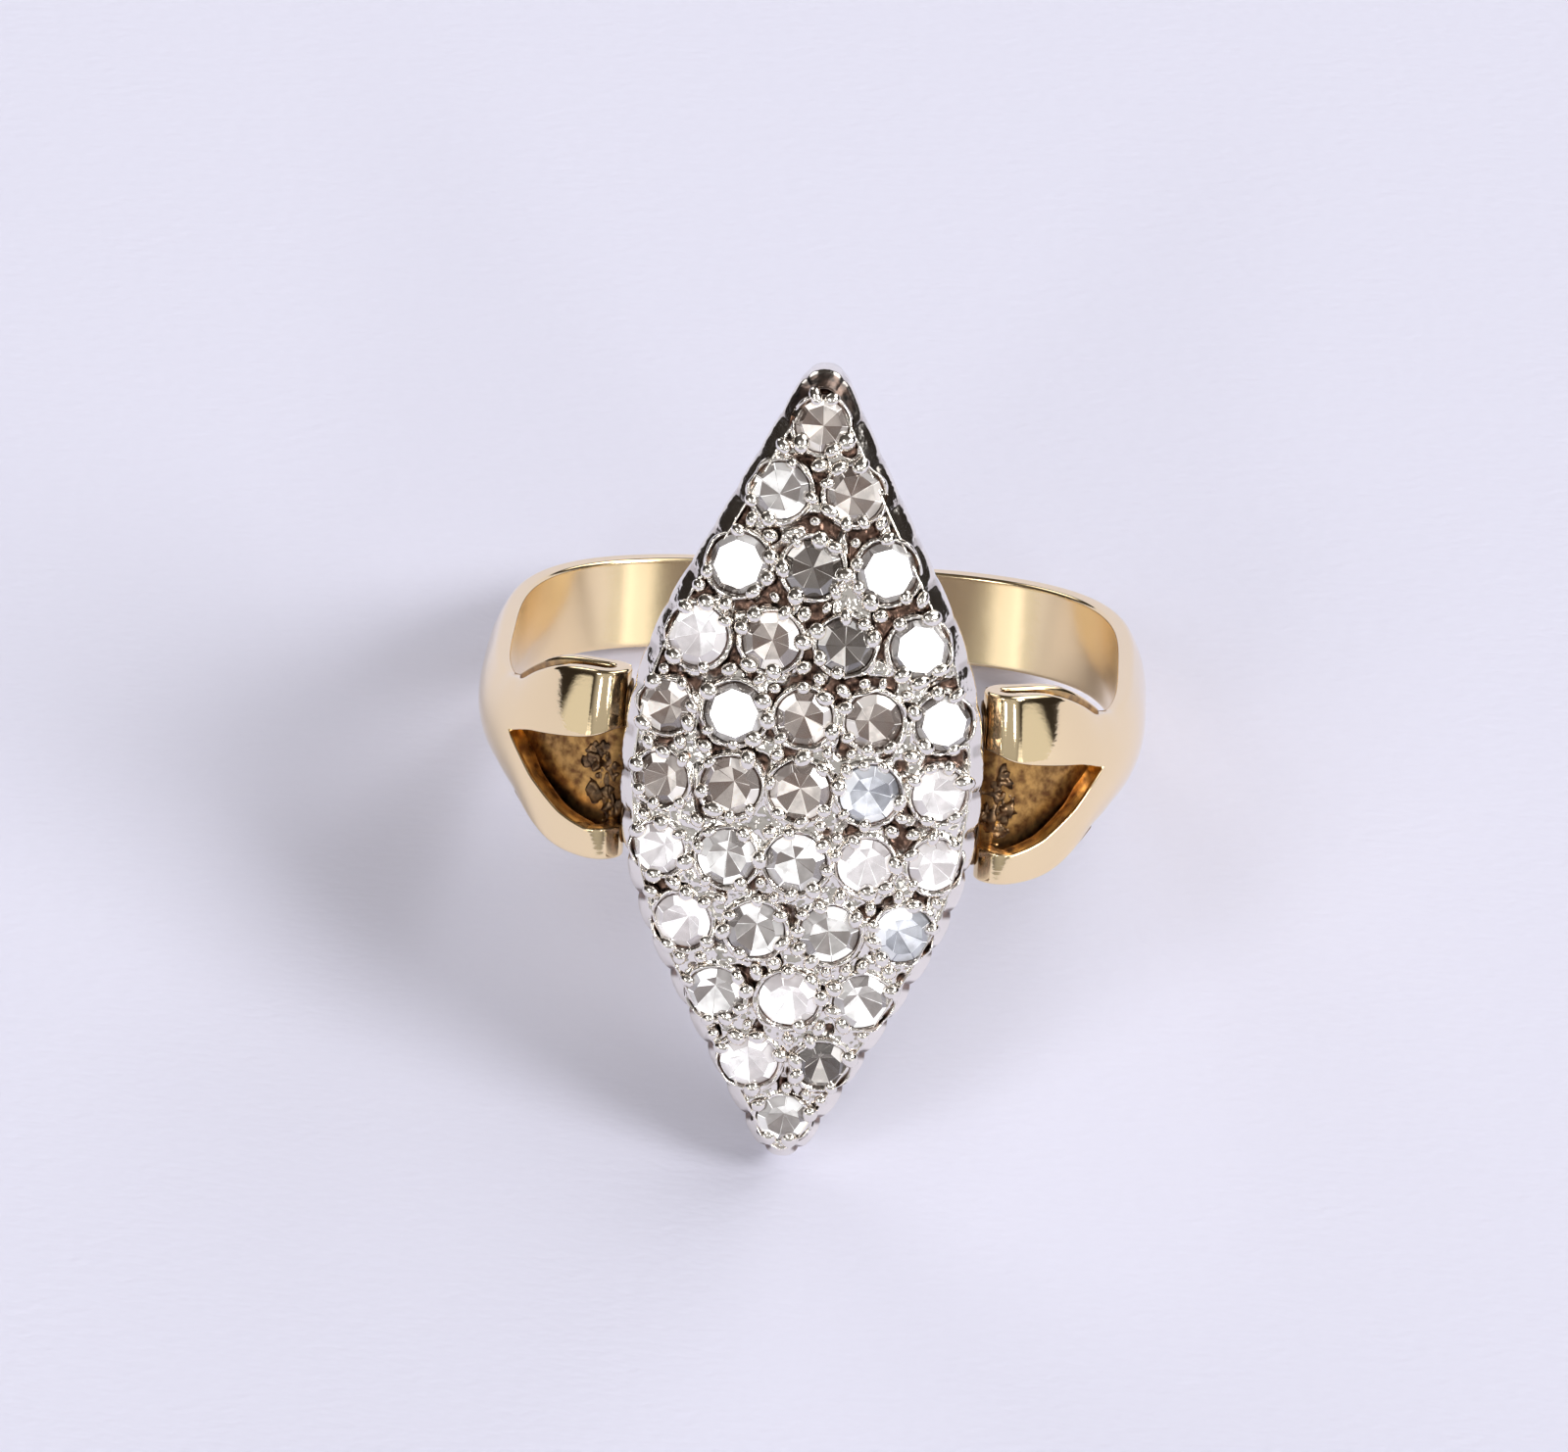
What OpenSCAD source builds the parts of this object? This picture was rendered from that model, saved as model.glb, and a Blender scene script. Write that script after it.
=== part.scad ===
// Navette cluster ring: a pointed, domed head of small stones on a split-shoulder band.
// The ring is drawn upright first, with x across the finger, y along the finger and z out of
// the head, and its origin at the middle of the finger hole. It is then laid on its side: it
// rests on the lower point of the head and on the lower edge of the band's back, which is
// straight in the middle.

/* [Finger hole] */
// Width of the finger hole across the finger
finger_w = 18.5; // [16:0.1:21]
// From the middle of the finger hole to its back
finger_back = 9.75; // [8:0.05:11]
// From the middle of the finger hole to its lining under the shoulders
finger_front = 8.2; // [7.5:0.1:9.5]
// Squareness of the hole's back corners, where 2 is a circle
back_square = 3.4; // [2.4:0.1:5]
// Squareness of the hole's front corners, where 2 is a circle
front_square = 3.6; // [2.4:0.1:5]

/* [Band] */
// Thickness of the band at the sides, in the middle of its width
band_t = 0.95; // [0.7:0.05:1.6]
// Thickness of the band at the back, in the middle of its width
back_t = 1.15; // [0.8:0.05:1.8]
// How much thinner the band is at its edges than in the middle of its width
band_crown = 0.5; // [0.1:0.05:0.6]
// Width of the band along the finger at the back
band_w = 2.9; // [2:0.1:5]
// Width of the band along the finger at the shoulders
shoulder_w = 5.9; // [4.5:0.1:7]
// How far the shoulders stand above the lining, measured out of the head
shoulder_rise = 2.35; // [2:0.05:2.8]
// How much lower the shoulders are at their edges than in the middle of their width
shoulder_crown = 0.25; // [0.1:0.05:0.4]
// Squareness of the shoulders' outer corners, where 2 is a circle
shoulder_square = 2.8; // [2.4:0.1:4]

/* [Split shoulders] */
// Thickness of the outer strip of each shoulder
strip_t = 0.5; // [0.35:0.05:0.7]
// Thickness of the lining strip of each shoulder
lining_t = 0.45; // [0.3:0.05:0.6]
// Upper edge of the pierced leaf beside the head, above the band's middle
leaf_top = 1.15; // [0.5:0.05:1.8]
// Lower edge of the pierced leaf beside the head, below the band's middle
leaf_low = 1.9; // [0.5:0.05:2.2]
// From the outside of the band to the leaf's point
leaf_inset = 1.25; // [0.8:0.05:2.5]
// Height of the leaf's point above the band's middle
leaf_point = 0.3; // [-0.4:0.05:0.6]

/* [Head] */
// Length of the head along the finger
head_l = 24.4; // [20:0.1:28]
// Width of the head across the finger
head_w = 10.8; // [9:0.1:13]
// Height of the dome's top above the lining
head_rise = 3.35; // [3:0.05:4.5]
// Depth of the head's side wall
head_d = 2; // [1.7:0.05:3]
// Radius of the dome along the finger
dome_l = 33; // [26:0.5:60]
// Radius of the dome across the finger
dome_w = 16; // [12:0.5:24]
// Thickness of the plate that holds the stones
plate_t = 1.1; // [0.9:0.05:1.5]
// Thickness of the head's side wall
wall_t = 0.6; // [0.4:0.05:0.8]
// Radius of the head's two points
point_r = 0.9; // [0.5:0.05:1.4]
// Slope of the straight ends, as a multiple of the head's width over its length
end_slope = 1.2; // [1.1:0.01:1.4]
// Length of one scallop along the rim
scallop = 1.25; // [0.9:0.05:2]
// Depth of the notches between scallops
notch = 0.1; // [0.05:0.01:0.2]
// Clearance between the head and the ends of the shoulders
solder_gap = 0.05; // [0.02:0.01:0.15]

/* [Stones] */
// Diameter of a stone's girdle
stone_d = 1.84; // [1.5:0.02:2.1]
// Distance between rows along the dome
row_pitch = 2.235; // [2:0.005:2.4]
// Distance between stones in a row across the dome
stone_pitch = 2.2; // [2:0.01:2.4]
// Diameter of the end stones in the full rows, which are a little smaller
end_stone_d = 1.7; // [1.4:0.02:2]
// Metal left outside the end stone of the middle row
rim_w = 0.42; // [0.3:0.02:0.6]
// How far the single stones at the two points are drawn in towards the middle
point_pull = 0.25; // [0:0.05:0.5]
// Depth of a stone's girdle below the metal
set_depth = 0.12; // [0.05:0.01:0.25]
// Clearance between a stone and its seat
seat_gap = 0.03; // [0.02:0.01:0.06]
// Width of a stone's table as a share of its diameter
table_share = 0.62; // [0.5:0.01:0.7]
// Height of a stone's crown as a share of its diameter
crown_share = 0.13; // [0.08:0.01:0.18]
// Thickness of a stone's girdle as a share of its diameter
girdle_share = 0.04; // [0.02:0.01:0.06]
// Depth of a stone's pavilion as a share of its diameter
pavilion_share = 0.4; // [0.34:0.01:0.44]
// Diameter of the light hole under a stone
light_hole = 1.1; // [0.8:0.05:1.3]

/* [Hidden] */
$fn = 48;
ROW_COUNTS = [1, 2, 3, 4, 5, 5, 5, 4, 3, 2, 1];
STONES = [for (row = [0:len(ROW_COUNTS) - 1]) for (k = [0:ROW_COUNTS[row] - 1]) [row, k]];

// Lean of each stone's table in whole degrees, row by row from the upper point: [up, right]
LEANS = [
    [[2, -3]],
    [[-3, 2], [3, 3]],
    [[0, 0], [-5, -2], [0, 0]],
    [[-2, 3], [3, -3], [-5, 2], [0, 0]],
    [[3, 2], [0, 0], [-4, -3], [3, 4], [0, 0]],
    [[-3, -2], [2, 3], [-2, 2], [4, -2], [-2, 3]],
    [[3, 1], [-3, -3], [3, -2], [-2, 3], [2, 2]],
    [[-2, 2], [3, 3], [-3, 1], [3, -2]],
    [[2, -3], [-2, 3], [3, 2]],
    [[-3, 2], [3, -2]],
    [[2, 2]],
];

// Turn of each stone about its own axis from the one before it, in degrees
STONE_TURN = 17;

function stone_name(i) = str("stone_", i < 9 ? "0" : "", i + 1);

// Corners of the contours around the finger are one step apart. The band's outside leaves out
// those nearest the middle of the back, so that it is straight there and the ring lies still
ARC_STEP = 5;
BACK_CORNERS = 2;
TOP = 90 / ARC_STEP;
BACK = 270;
ANGLES = [for (a = [ARC_STEP / 2:ARC_STEP:360 - ARC_STEP / 2])
    if (abs(a - BACK) > BACK_CORNERS * ARC_STEP) a];
AROUND = len(ANGLES);

// How far cutting shapes pass the metal, and how far a contour keeps from the start of a turn
SPARE = 1;
CLEAR = 0.1;

// Half sizes of the hole and of the band's outside
hole_x = finger_w / 2;
side_x = hole_x + band_t;
back_z = finger_back + back_t;
front_z = finger_front + shoulder_rise;
band_y = band_w / 2;
shoulder_y = shoulder_w / 2;

// Head: its top, half sizes, and the angle and place of its straight ends
head_top = finger_front + head_rise;
head_x = head_w / 2;
head_y = head_l / 2;
end_angle = atan(end_slope * head_w / head_l);
end_reach = (head_y - point_r) * sin(end_angle) + point_r;
dome_axis = head_top - dome_l;

// Laid on its side: the tilt that puts the lower point and the edge of the band's back on the
// ground, and how far both ends then reach from the middle of the finger hole
point_top = dome_axis + sqrt(pow(dome_l, 2) - pow(head_y, 2));
point_low = dome_axis + sqrt(pow(dome_l - head_d, 2) - pow(head_y, 2));
edge_angle = BACK + (BACK_CORNERS + 0.5) * ARC_STEP;
edge_z = -squarish(edge_angle, side_x - band_crown, back_z - band_crown, back_square)[1];
tilt = atan2(head_y - band_y, point_low + edge_z);
hole_height = head_y * cos(tilt) - point_low * sin(tilt);
reach_front = head_y * sin(tilt) + point_top * cos(tilt);
reach_back = band_y * sin(tilt) + edge_z * cos(tilt);

module laid() {
    translate([0, (reach_front - reach_back) / 2, hole_height]) rotate([90 - tilt, 0, 0]) children();
}

// One rounded-square quarter: a point at an angle from the x axis
function squarish(a, rx, rz, square) = [
    rx * sign(cos(a)) * pow(abs(cos(a)), 2 / square),
    rz * sign(sin(a)) * pow(abs(sin(a)), 2 / square),
];

// Height of a rounded-square front at a distance x from the middle
function front_height(x, rx, rz, square) = rz * pow(1 - pow(abs(x) / rx, square), 1 / square);

// The right side of a contour, from a distance x at the front to the flat of the back
function right_side(x, rx, front, back, front_sq, back_sq) = concat(
    [for (a = [90 - ARC_STEP / 2:-ARC_STEP:ARC_STEP / 2])
        let (p = squarish(a, rx, front, front_sq)) if (p[0] > x) p],
    [for (a = [ARC_STEP / 2:ARC_STEP:90 - ARC_STEP / 2]) squarish(-a, rx, back, back_sq)]
);

function mirrored(points) = [for (i = [len(points) - 1:-1:0]) [-points[i][0], points[i][1]]];

// Shoulder ends: where the strip turns back on itself beside the head
arm_end = head_x + solder_gap;
turn_high = front_height(arm_end + shoulder_rise / 2, side_x, front_z, shoulder_square);
turn_low = front_height(arm_end + shoulder_rise / 2, hole_x, finger_front, front_square);
turn_r = (turn_high - turn_low) / 2;
turn_x = arm_end + turn_r;
turn_z = (turn_high + turn_low) / 2;
TURN_STEPS = 8;

function turn(x, z, r, from, to) = [for (i = [0:TURN_STEPS])
    let (a = from + (to - from) * i / TURN_STEPS) [x + r * cos(a), z + r * sin(a)]];

// Plan of the band, seen along the finger: open at the head and out to beyond the crowned outside
module band_plan() {
    half_plan = concat(
        turn(turn_x, turn_z, turn_r, 270, 90),
        [[turn_x, front_z + SPARE], [side_x + SPARE, front_z + SPARE], [side_x + SPARE, -back_z - SPARE]]
    );
    inner_side = right_side(turn_x + CLEAR, hole_x, finger_front, finger_back, front_square, back_square);
    inner_up = [for (i = [len(inner_side) - 1:-1:0]) inner_side[i]];
    polygon(concat(half_plan, mirrored(half_plan), mirrored(inner_up), inner_up));
}

// Width and crown of the band: [share of the height from back to front, share of the change from
// the back's values to the shoulders' values]
WIDTHS = [[0, 0], [0.75, 0], [0.82, 0.12], [0.86, 0.42], [0.9, 0.72], [0.93, 0.9], [1, 1]];
CROWN_STEPS = 8;

// A point of the band's outside, at an angle around the finger and a share f of its half width
function outside_point(a, f) =
    let (reach = sin(a) > 0 ? front_z : back_z, square = sin(a) > 0 ? shoulder_square : back_square)
    let (middle = squarish(a, side_x, reach, square))
    let (widened = lookup((middle[1] + back_z) / (back_z + front_z), WIDTHS))
    let (crown = (band_crown + (shoulder_crown - band_crown) * widened) * f * f)
    let (p = squarish(a, side_x - crown, reach - crown, square))
    [p[0], f * (band_y + (shoulder_y - band_y) * widened), p[1]];

// The band's outside as a closed body: crowned all round, with a face along each edge
module outside_body() {
    points = [for (j = [0:CROWN_STEPS]) for (a = ANGLES) outside_point(a, 2 * j / CROWN_STEPS - 1)];
    skin = [for (j = [0:CROWN_STEPS - 1]) for (i = [0:AROUND - 1])
        let (a = j * AROUND + i, b = j * AROUND + (i + 1) % AROUND)
        each [[a, b, b + AROUND], [a, b + AROUND, a + AROUND]]];
    upper = CROWN_STEPS * AROUND;
    edges = [for (k = [0:AROUND / 2 - 2])
        let (r = (TOP - 1 - k + AROUND) % AROUND, next_r = (TOP - 2 - k + AROUND) % AROUND)
        let (l = TOP + k, next_l = TOP + 1 + k)
        each [
            [upper + r, upper + l, upper + next_l, upper + next_r],
            [next_r, next_l, l, r],
        ]];
    polyhedron(points, concat(skin, edges), convexity = 4);
}

// The hollow between the outer strip and the lining of the right shoulder, in plan
module hollow_plan() {
    strip_z = front_z - shoulder_crown - strip_t;
    difference() {
        polygon(concat(
            turn(turn_x, turn_z, turn_r - strip_t, 270, 90),
            [for (p = right_side(turn_x + CLEAR, hole_x + lining_t, strip_z, back_z,
                shoulder_square, back_square)) if (p[1] > 0) p],
            [[turn_x, 0]]
        ));
        lining_plan();
    }
}

// The finger hole with its lining around it, in plan
module lining_plan() {
    polygon(concat(
        [for (a = [ARC_STEP / 2:ARC_STEP:180 - ARC_STEP / 2])
            squarish(a, hole_x + lining_t, finger_front + lining_t, front_square)],
        [[-hole_x - lining_t, 0], [hole_x + lining_t, 0]]
    ));
}

// Edges of the pierced leaf: [share of the way from the point to the head, share of the way
// from the point's height to the edge's height]
LEAF_TOP = [[0.14, 0.3], [0.32, 0.46], [0.5, 0.62], [0.63, 0.8], [0.74, 1], [1, 1.1]];
LEAF_LOW = [
    [1, 0.95], [0.74, 1], [0.56, 1.02], [0.45, 0.95],
    [0.36, 0.86], [0.26, 0.68], [0.16, 0.48], [0.08, 0.23],
];

module leaf_outline() {
    point_x = side_x - leaf_inset;
    inner_x = arm_end - solder_gap - turn_r;
    polygon(concat(
        [[point_x, leaf_point]],
        [for (e = LEAF_TOP) [
            point_x + (inner_x - point_x) * e[0],
            leaf_point + (leaf_top - leaf_point) * e[1],
        ]],
        [for (e = LEAF_LOW) [
            point_x + (inner_x - point_x) * e[0],
            leaf_point + (-leaf_low - leaf_point) * e[1],
        ]]
    ));
}

module along_finger(length) {
    rotate([90, 0, 0]) linear_extrude(length, center = true) children();
}

module right_openings() {
    along_finger(shoulder_w * 2) hollow_plan();
    difference() {
        linear_extrude(front_z * 2) leaf_outline();
        along_finger(shoulder_w * 2) lining_plan();
    }
}

module shank() {
    color("gold") laid() difference() {
        intersection() {
            outside_body();
            along_finger(shoulder_w * 2) band_plan();
        }
        right_openings();
        mirror([1, 0, 0]) right_openings();
    }
}

// One quarter of the head's outline, from its widest point to its tip, as a point and its
// outward direction at a distance s: a round side, a straight end and a round tip
function side_r(half_w, reach) = (reach - half_w * cos(end_angle)) / (1 - cos(end_angle));
function side_l(half_w, reach) = side_r(half_w, reach) * end_angle * PI / 180;
function end_l(half_w, reach, tip) =
    (reach - tip) / tan(end_angle) - (side_r(half_w, reach) - half_w) * sin(end_angle);
function tip_l(tip) = tip * (90 - end_angle) * PI / 180;

function outline_point(s, half_w, reach, tip) =
    let (r = side_r(half_w, reach), first = side_l(half_w, reach))
    let (second = first + end_l(half_w, reach, tip))
    let (tip_y = (reach - tip) / sin(end_angle))
    s < first
        ? let (a = s / r * 180 / PI) [half_w - r + r * cos(a), r * sin(a), a]
        : s < second
            ? [
                half_w - r + r * cos(end_angle) - (s - first) * sin(end_angle),
                r * sin(end_angle) + (s - first) * cos(end_angle),
                end_angle,
            ]
            : let (a = end_angle + (s - second) / tip * 180 / PI)
                [tip * cos(a), tip_y + tip * sin(a), a];

function quarter_l(half_w, reach, tip) =
    side_l(half_w, reach) + end_l(half_w, reach, tip) + tip_l(tip);

scallops = round(quarter_l(head_x, end_reach, point_r) / scallop - 0.5) + 0.5;
SCALLOP_STEPS = 6;
// Share of a quarter's length that is drawn, so that its last point stays on its own side
TO_TIP = 0.9999;

// A quarter of the scalloped rim, with a notch at the widest point and a lobe at the tip
function rim_quarter() =
    let (length = quarter_l(head_x, end_reach, point_r), steps = scallops * SCALLOP_STEPS)
    [for (i = [0:steps])
        let (p = outline_point(length * i / steps * TO_TIP, head_x, end_reach, point_r))
        let (cut = notch * (1 - abs(sin(180 * i / SCALLOP_STEPS))))
        [p[0] - cut * cos(p[2]), p[1] - cut * sin(p[2])]];

INNER_STEPS = 14;
inner_point_r = point_r / 3;
// A quarter of the smooth outline that lies a distance inside the rim
function inner_quarter(inset, tip) =
    let (half_w = head_x - inset, reach = end_reach - inset)
    let (length = quarter_l(half_w, reach, tip))
    [for (i = [0:INNER_STEPS]) outline_point(length * i / INNER_STEPS * TO_TIP, half_w, reach, tip)];

module four_quarters(quarter) {
    upper = [for (p = quarter) [p[0], p[1]]];
    right = concat([for (i = [len(upper) - 1:-1:1]) [upper[i][0], -upper[i][1]]], upper);
    polygon(concat(right, mirrored(right)));
}

// How far the dome's body is turned about its axis, and how many wall depths it goes down
DOME_TURN = 60;
WALL_DEPTHS = 3;

// Everything below the dome lowered by a depth, as a body turned about the dome's long axis. A
// lowered one is turned and goes down further, so that no end faces meet
module under_dome(depth) {
    below = head_d * WALL_DEPTHS + depth;
    reach = DOME_TURN + depth;
    translate([0, 0, dome_axis]) rotate([0, -90, 0]) rotate([0, 0, -reach / 2])
        rotate_extrude(angle = reach, $fn = 240)
            intersection() {
                translate([dome_l - dome_w, 0]) circle(dome_w - depth, $fn = 180);
                translate([dome_l - below, -head_w]) square([below + SPARE, head_w * 2]);
            }
}

// Puts a child on the dome, at a distance along it and across it, facing straight out
module on_dome(along, across) {
    translate([0, 0, dome_axis]) rotate([-along / dome_l * 180 / PI, 0, 0])
        translate([0, 0, dome_l - dome_w]) rotate([0, asin(across / dome_w), 0])
            translate([0, 0, dome_w]) children();
}

// Places of the stones: full rows close up so that the end stones stay inside the rim
FULL = max(ROW_COUNTS);
MIDDLE_ROW = (len(ROW_COUNTS) - 1) / 2;
full_step = (head_w - 2 * rim_w - end_stone_d) / (FULL - 1);
function row_along(row) =
    let (away = MIDDLE_ROW - row) away * row_pitch - (abs(away) == MIDDLE_ROW ? sign(away) * point_pull : 0);
function row_step(row) = ROW_COUNTS[row] == FULL ? full_step : stone_pitch;
function row_across(row, k) = (k - (ROW_COUNTS[row] - 1) / 2) * row_step(row);
function is_end(row, k) = ROW_COUNTS[row] == FULL && (k == 0 || k == FULL - 1);
function diameter(row, k) = is_end(row, k) ? end_stone_d : stone_d;

// Puts a child at a stone's place, leant as the stone leans, with its girdle's top at z = 0
module at_stone(row, k) {
    lean = LEANS[row][k];
    on_dome(row_along(row), row_across(row, k)) translate([0, 0, -set_depth])
        rotate([-lean[0], lean[1], 0]) children();
}

// A stone is cut with eight sides, and its round girdle is drawn with twice as many corners
SIDES = 8;
CORNERS = SIDES * 2;
CORNER_TURN = 360 / CORNERS;

// How far the girdle's corners between two facets' middles hang below the others
function corner_fall(d) = d * pavilion_share * (1 - cos(CORNER_TURN));

// The hole that seats one stone: straight at the girdle, sloped under it, then a light hole
module seat(d) {
    top_r = d / 2 + seat_gap;
    low_r = light_hole / 2;
    girdle_z = -d * girdle_share - corner_fall(d) - seat_gap;
    slope_z = girdle_z - pavilion_share * (d - light_hole);
    through = -plate_t * 2;
    rotate_extrude() polygon([
        [0, plate_t], [top_r, plate_t], [top_r, girdle_z],
        [low_r, slope_z], [low_r, through], [0, through],
    ]);
}

module head() {
    color("white") laid() difference() {
        intersection() {
            linear_extrude(head_top * 2) four_quarters(rim_quarter());
            difference() {
                under_dome(0);
                under_dome(head_d);
            }
        }
        intersection() {
            linear_extrude(head_top * 2) four_quarters(inner_quarter(wall_t, inner_point_r));
            under_dome(plate_t);
        }
        for (s = STONES) at_stone(s[0], s[1]) seat(diameter(s[0], s[1]));
    }
}

// A stone of single cut: an octagonal table, eight crown facets, a girdle of sixteen corners,
// and eight pavilion facets that meet in a point
module cut_stone(d) {
    r = d / 2;
    girdle_t = d * girdle_share;
    crown_h = d * crown_share;
    pavilion_h = d * pavilion_share;
    table_r = r * table_share / cos(CORNER_TURN);
    facet_r = r * cos(CORNER_TURN);
    rise = (r - facet_r) * crown_h / (r - r * table_share);
    ring = [for (i = [0:CORNERS - 1]) [r * cos(i * CORNER_TURN), r * sin(i * CORNER_TURN), i % 2]];
    points = concat(
        [for (i = [0:SIDES - 1])
            [table_r * cos((i * 2 + 1) * CORNER_TURN), table_r * sin((i * 2 + 1) * CORNER_TURN), crown_h]],
        [for (p = ring) [p[0], p[1], p[2] * rise]],
        [for (p = ring) [p[0], p[1], -girdle_t - p[2] * corner_fall(d)]],
        [[0, 0, -girdle_t - pavilion_h]]
    );
    high = SIDES;
    low = high + CORNERS;
    tip = low + CORNERS;
    table = [[for (i = [SIDES - 1:-1:0]) i]];
    crown = [for (i = [0:SIDES - 1]) let (c = i * 2)
        [(i + SIDES - 1) % SIDES, i, high + (c + 1) % CORNERS, high + c, high + (c + CORNERS - 1) % CORNERS]];
    girdle = [for (i = [0:CORNERS - 1]) let (n = (i + 1) % CORNERS) [high + i, high + n, low + n, low + i]];
    pavilion = [for (i = [0:SIDES - 1]) let (c = i * 2)
        [tip, low + (c + CORNERS - 1) % CORNERS, low + c, low + (c + 1) % CORNERS]];
    polyhedron(points, concat(table, crown, girdle, pavilion), convexity = 2);
}

module stone(i) {
    row = STONES[i][0];
    k = STONES[i][1];
    color("lightcyan") laid() at_stone(row, k) rotate([0, 0, i * STONE_TURN]) cut_stone(diameter(row, k));
}

shank();
head();
for (i = [0:len(STONES) - 1]) stone(i);
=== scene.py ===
"""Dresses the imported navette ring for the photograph.

All sizes are in millimetres and belong to the upright ring: x runs across the finger, y along it
and z out of the head, from the middle of the finger hole. Laid.place turns and moves such points
to the ring as it lies on its side, in metres, where every piece and the camera are made.
"""
import logging
import math
from dataclasses import dataclass
from enum import Enum

import bmesh
import bpy
import numpy as np
from mathutils import Matrix, Vector


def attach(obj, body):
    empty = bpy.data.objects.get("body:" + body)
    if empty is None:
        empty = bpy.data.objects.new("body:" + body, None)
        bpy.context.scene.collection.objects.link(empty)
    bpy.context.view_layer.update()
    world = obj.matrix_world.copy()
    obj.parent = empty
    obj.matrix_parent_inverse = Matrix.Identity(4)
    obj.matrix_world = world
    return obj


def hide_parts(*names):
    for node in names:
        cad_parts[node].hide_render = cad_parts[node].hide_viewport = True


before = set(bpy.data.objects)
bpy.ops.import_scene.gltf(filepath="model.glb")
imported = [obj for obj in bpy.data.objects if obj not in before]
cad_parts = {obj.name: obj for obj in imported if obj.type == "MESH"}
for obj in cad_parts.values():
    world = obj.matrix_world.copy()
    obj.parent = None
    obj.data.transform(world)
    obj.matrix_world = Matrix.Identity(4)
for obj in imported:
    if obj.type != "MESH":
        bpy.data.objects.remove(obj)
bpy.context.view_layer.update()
LOG = logging.getLogger("navette_ring")
MM = 0.001
SEED = 20261127
Array = np.ndarray


@dataclass(frozen=True)
class RingSizes:
    """Sizes that the part's source gives, in millimetres and degrees."""

    hole_x: float = 9.25
    finger_back: float = 9.75
    finger_front: float = 8.2
    back_square: float = 3.4
    front_square: float = 3.6
    band_t: float = 0.95
    back_t: float = 1.15
    band_crown: float = 0.5
    band_w: float = 2.9
    flat_angle: float = 12.5
    shoulder_w: float = 5.9
    shoulder_rise: float = 2.35
    shoulder_crown: float = 0.25
    shoulder_square: float = 2.8
    strip_t: float = 0.5
    lining_t: float = 0.45
    weld_in: float = 0.2
    leaf_top: float = 1.15
    leaf_low: float = 1.9
    leaf_inset: float = 1.25
    leaf_point: float = 0.3
    head_l: float = 24.4
    head_w: float = 10.8
    head_rise: float = 3.35
    head_d: float = 2.0
    dome_l: float = 33.0
    dome_w: float = 16.0
    point_r: float = 0.9
    end_slope: float = 1.2
    scallop: float = 1.25
    solder_gap: float = 0.05
    stone_d: float = 1.84
    end_stone_d: float = 1.7
    row_pitch: float = 2.235
    stone_pitch: float = 2.2
    rim_w: float = 0.42
    point_pull: float = 0.25
    set_depth: float = 0.12

    @property
    def side_x(self) -> float:
        """Half the band's outer width across the finger."""
        return self.hole_x + self.band_t

    @property
    def back_z(self) -> float:
        """From the hole's middle to the outside of the back."""
        return self.finger_back + self.back_t

    @property
    def front_z(self) -> float:
        """From the hole's middle to the outside of the shoulders."""
        return self.finger_front + self.shoulder_rise

    @property
    def arm_end(self) -> float:
        """From the ring's middle to the end of each shoulder, which sinks into the head's wall."""
        return self.head_w / 2 + self.solder_gap - self.weld_in

    @property
    def head_top(self) -> float:
        """Height of the dome's top."""
        return self.finger_front + self.head_rise

    @property
    def dome_axis(self) -> float:
        """Height of the axis that the dome is turned about."""
        return self.head_top - self.dome_l

    @property
    def end_angle(self) -> float:
        """Angle of the head's straight ends from its long axis, in radians."""
        return math.atan(self.end_slope * self.head_w / self.head_l)

    @property
    def end_reach(self) -> float:
        """Distance of the straight ends from the head's middle."""
        return (self.head_l / 2 - self.point_r) * math.sin(self.end_angle) + self.point_r


SIZES = RingSizes()


class Laid:
    """The ring as it lies: on the head's lower point and on the lower edge of the band's back."""

    def __init__(self, sizes: RingSizes) -> None:
        """Works out the tilt and the shift from the two places that touch the ground.

        Args:
            sizes: the ring's sizes.
        """
        head_y, band_y = sizes.head_l / 2, sizes.band_w / 2
        flat = math.cos(math.radians(sizes.flat_angle)) ** (2 / sizes.back_square)
        edge = (sizes.back_z - sizes.band_crown) * flat
        top = sizes.dome_axis + math.sqrt(sizes.dome_l ** 2 - head_y ** 2)
        low = sizes.dome_axis + math.sqrt((sizes.dome_l - sizes.head_d) ** 2 - head_y ** 2)
        tilt = math.atan2(head_y - band_y, low + edge)
        self.sin, self.cos = math.sin(tilt), math.cos(tilt)
        self.height = head_y * self.cos - low * self.sin
        front = head_y * self.sin + top * self.cos
        back = band_y * self.sin + edge * self.cos
        self.forward = (front - back) / 2

    def turn(self, points: Array) -> Array:
        """Turns directions of the upright ring to the ring as it lies.

        Args:
            points: directions, with x, y and z last.

        Returns:
            The turned directions.
        """
        x, y, z = np.moveaxis(np.asarray(points, float), -1, 0)
        return np.stack([x, y * self.sin - z * self.cos, y * self.cos + z * self.sin], -1)

    def place(self, points: Array) -> Array:
        """Turns and moves points of the upright ring, in millimetres, to metres where it lies.

        Args:
            points: points in millimetres, with x, y and z last.

        Returns:
            The placed points in metres.
        """
        return (self.turn(points) + [0, self.forward, self.height]) * MM

    def upright(self, points: Array) -> Array:
        """Takes placed points in metres back to the upright ring in millimetres.

        Args:
            points: points in metres, with x, y and z last.

        Returns:
            The points in millimetres.
        """
        x, y, z = np.moveaxis(np.asarray(points, float) / MM - [0, self.forward, self.height], -1, 0)
        return np.stack([x, y * self.sin + z * self.cos, z * self.sin - y * self.cos], -1)


LAID = Laid(SIZES)


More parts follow.
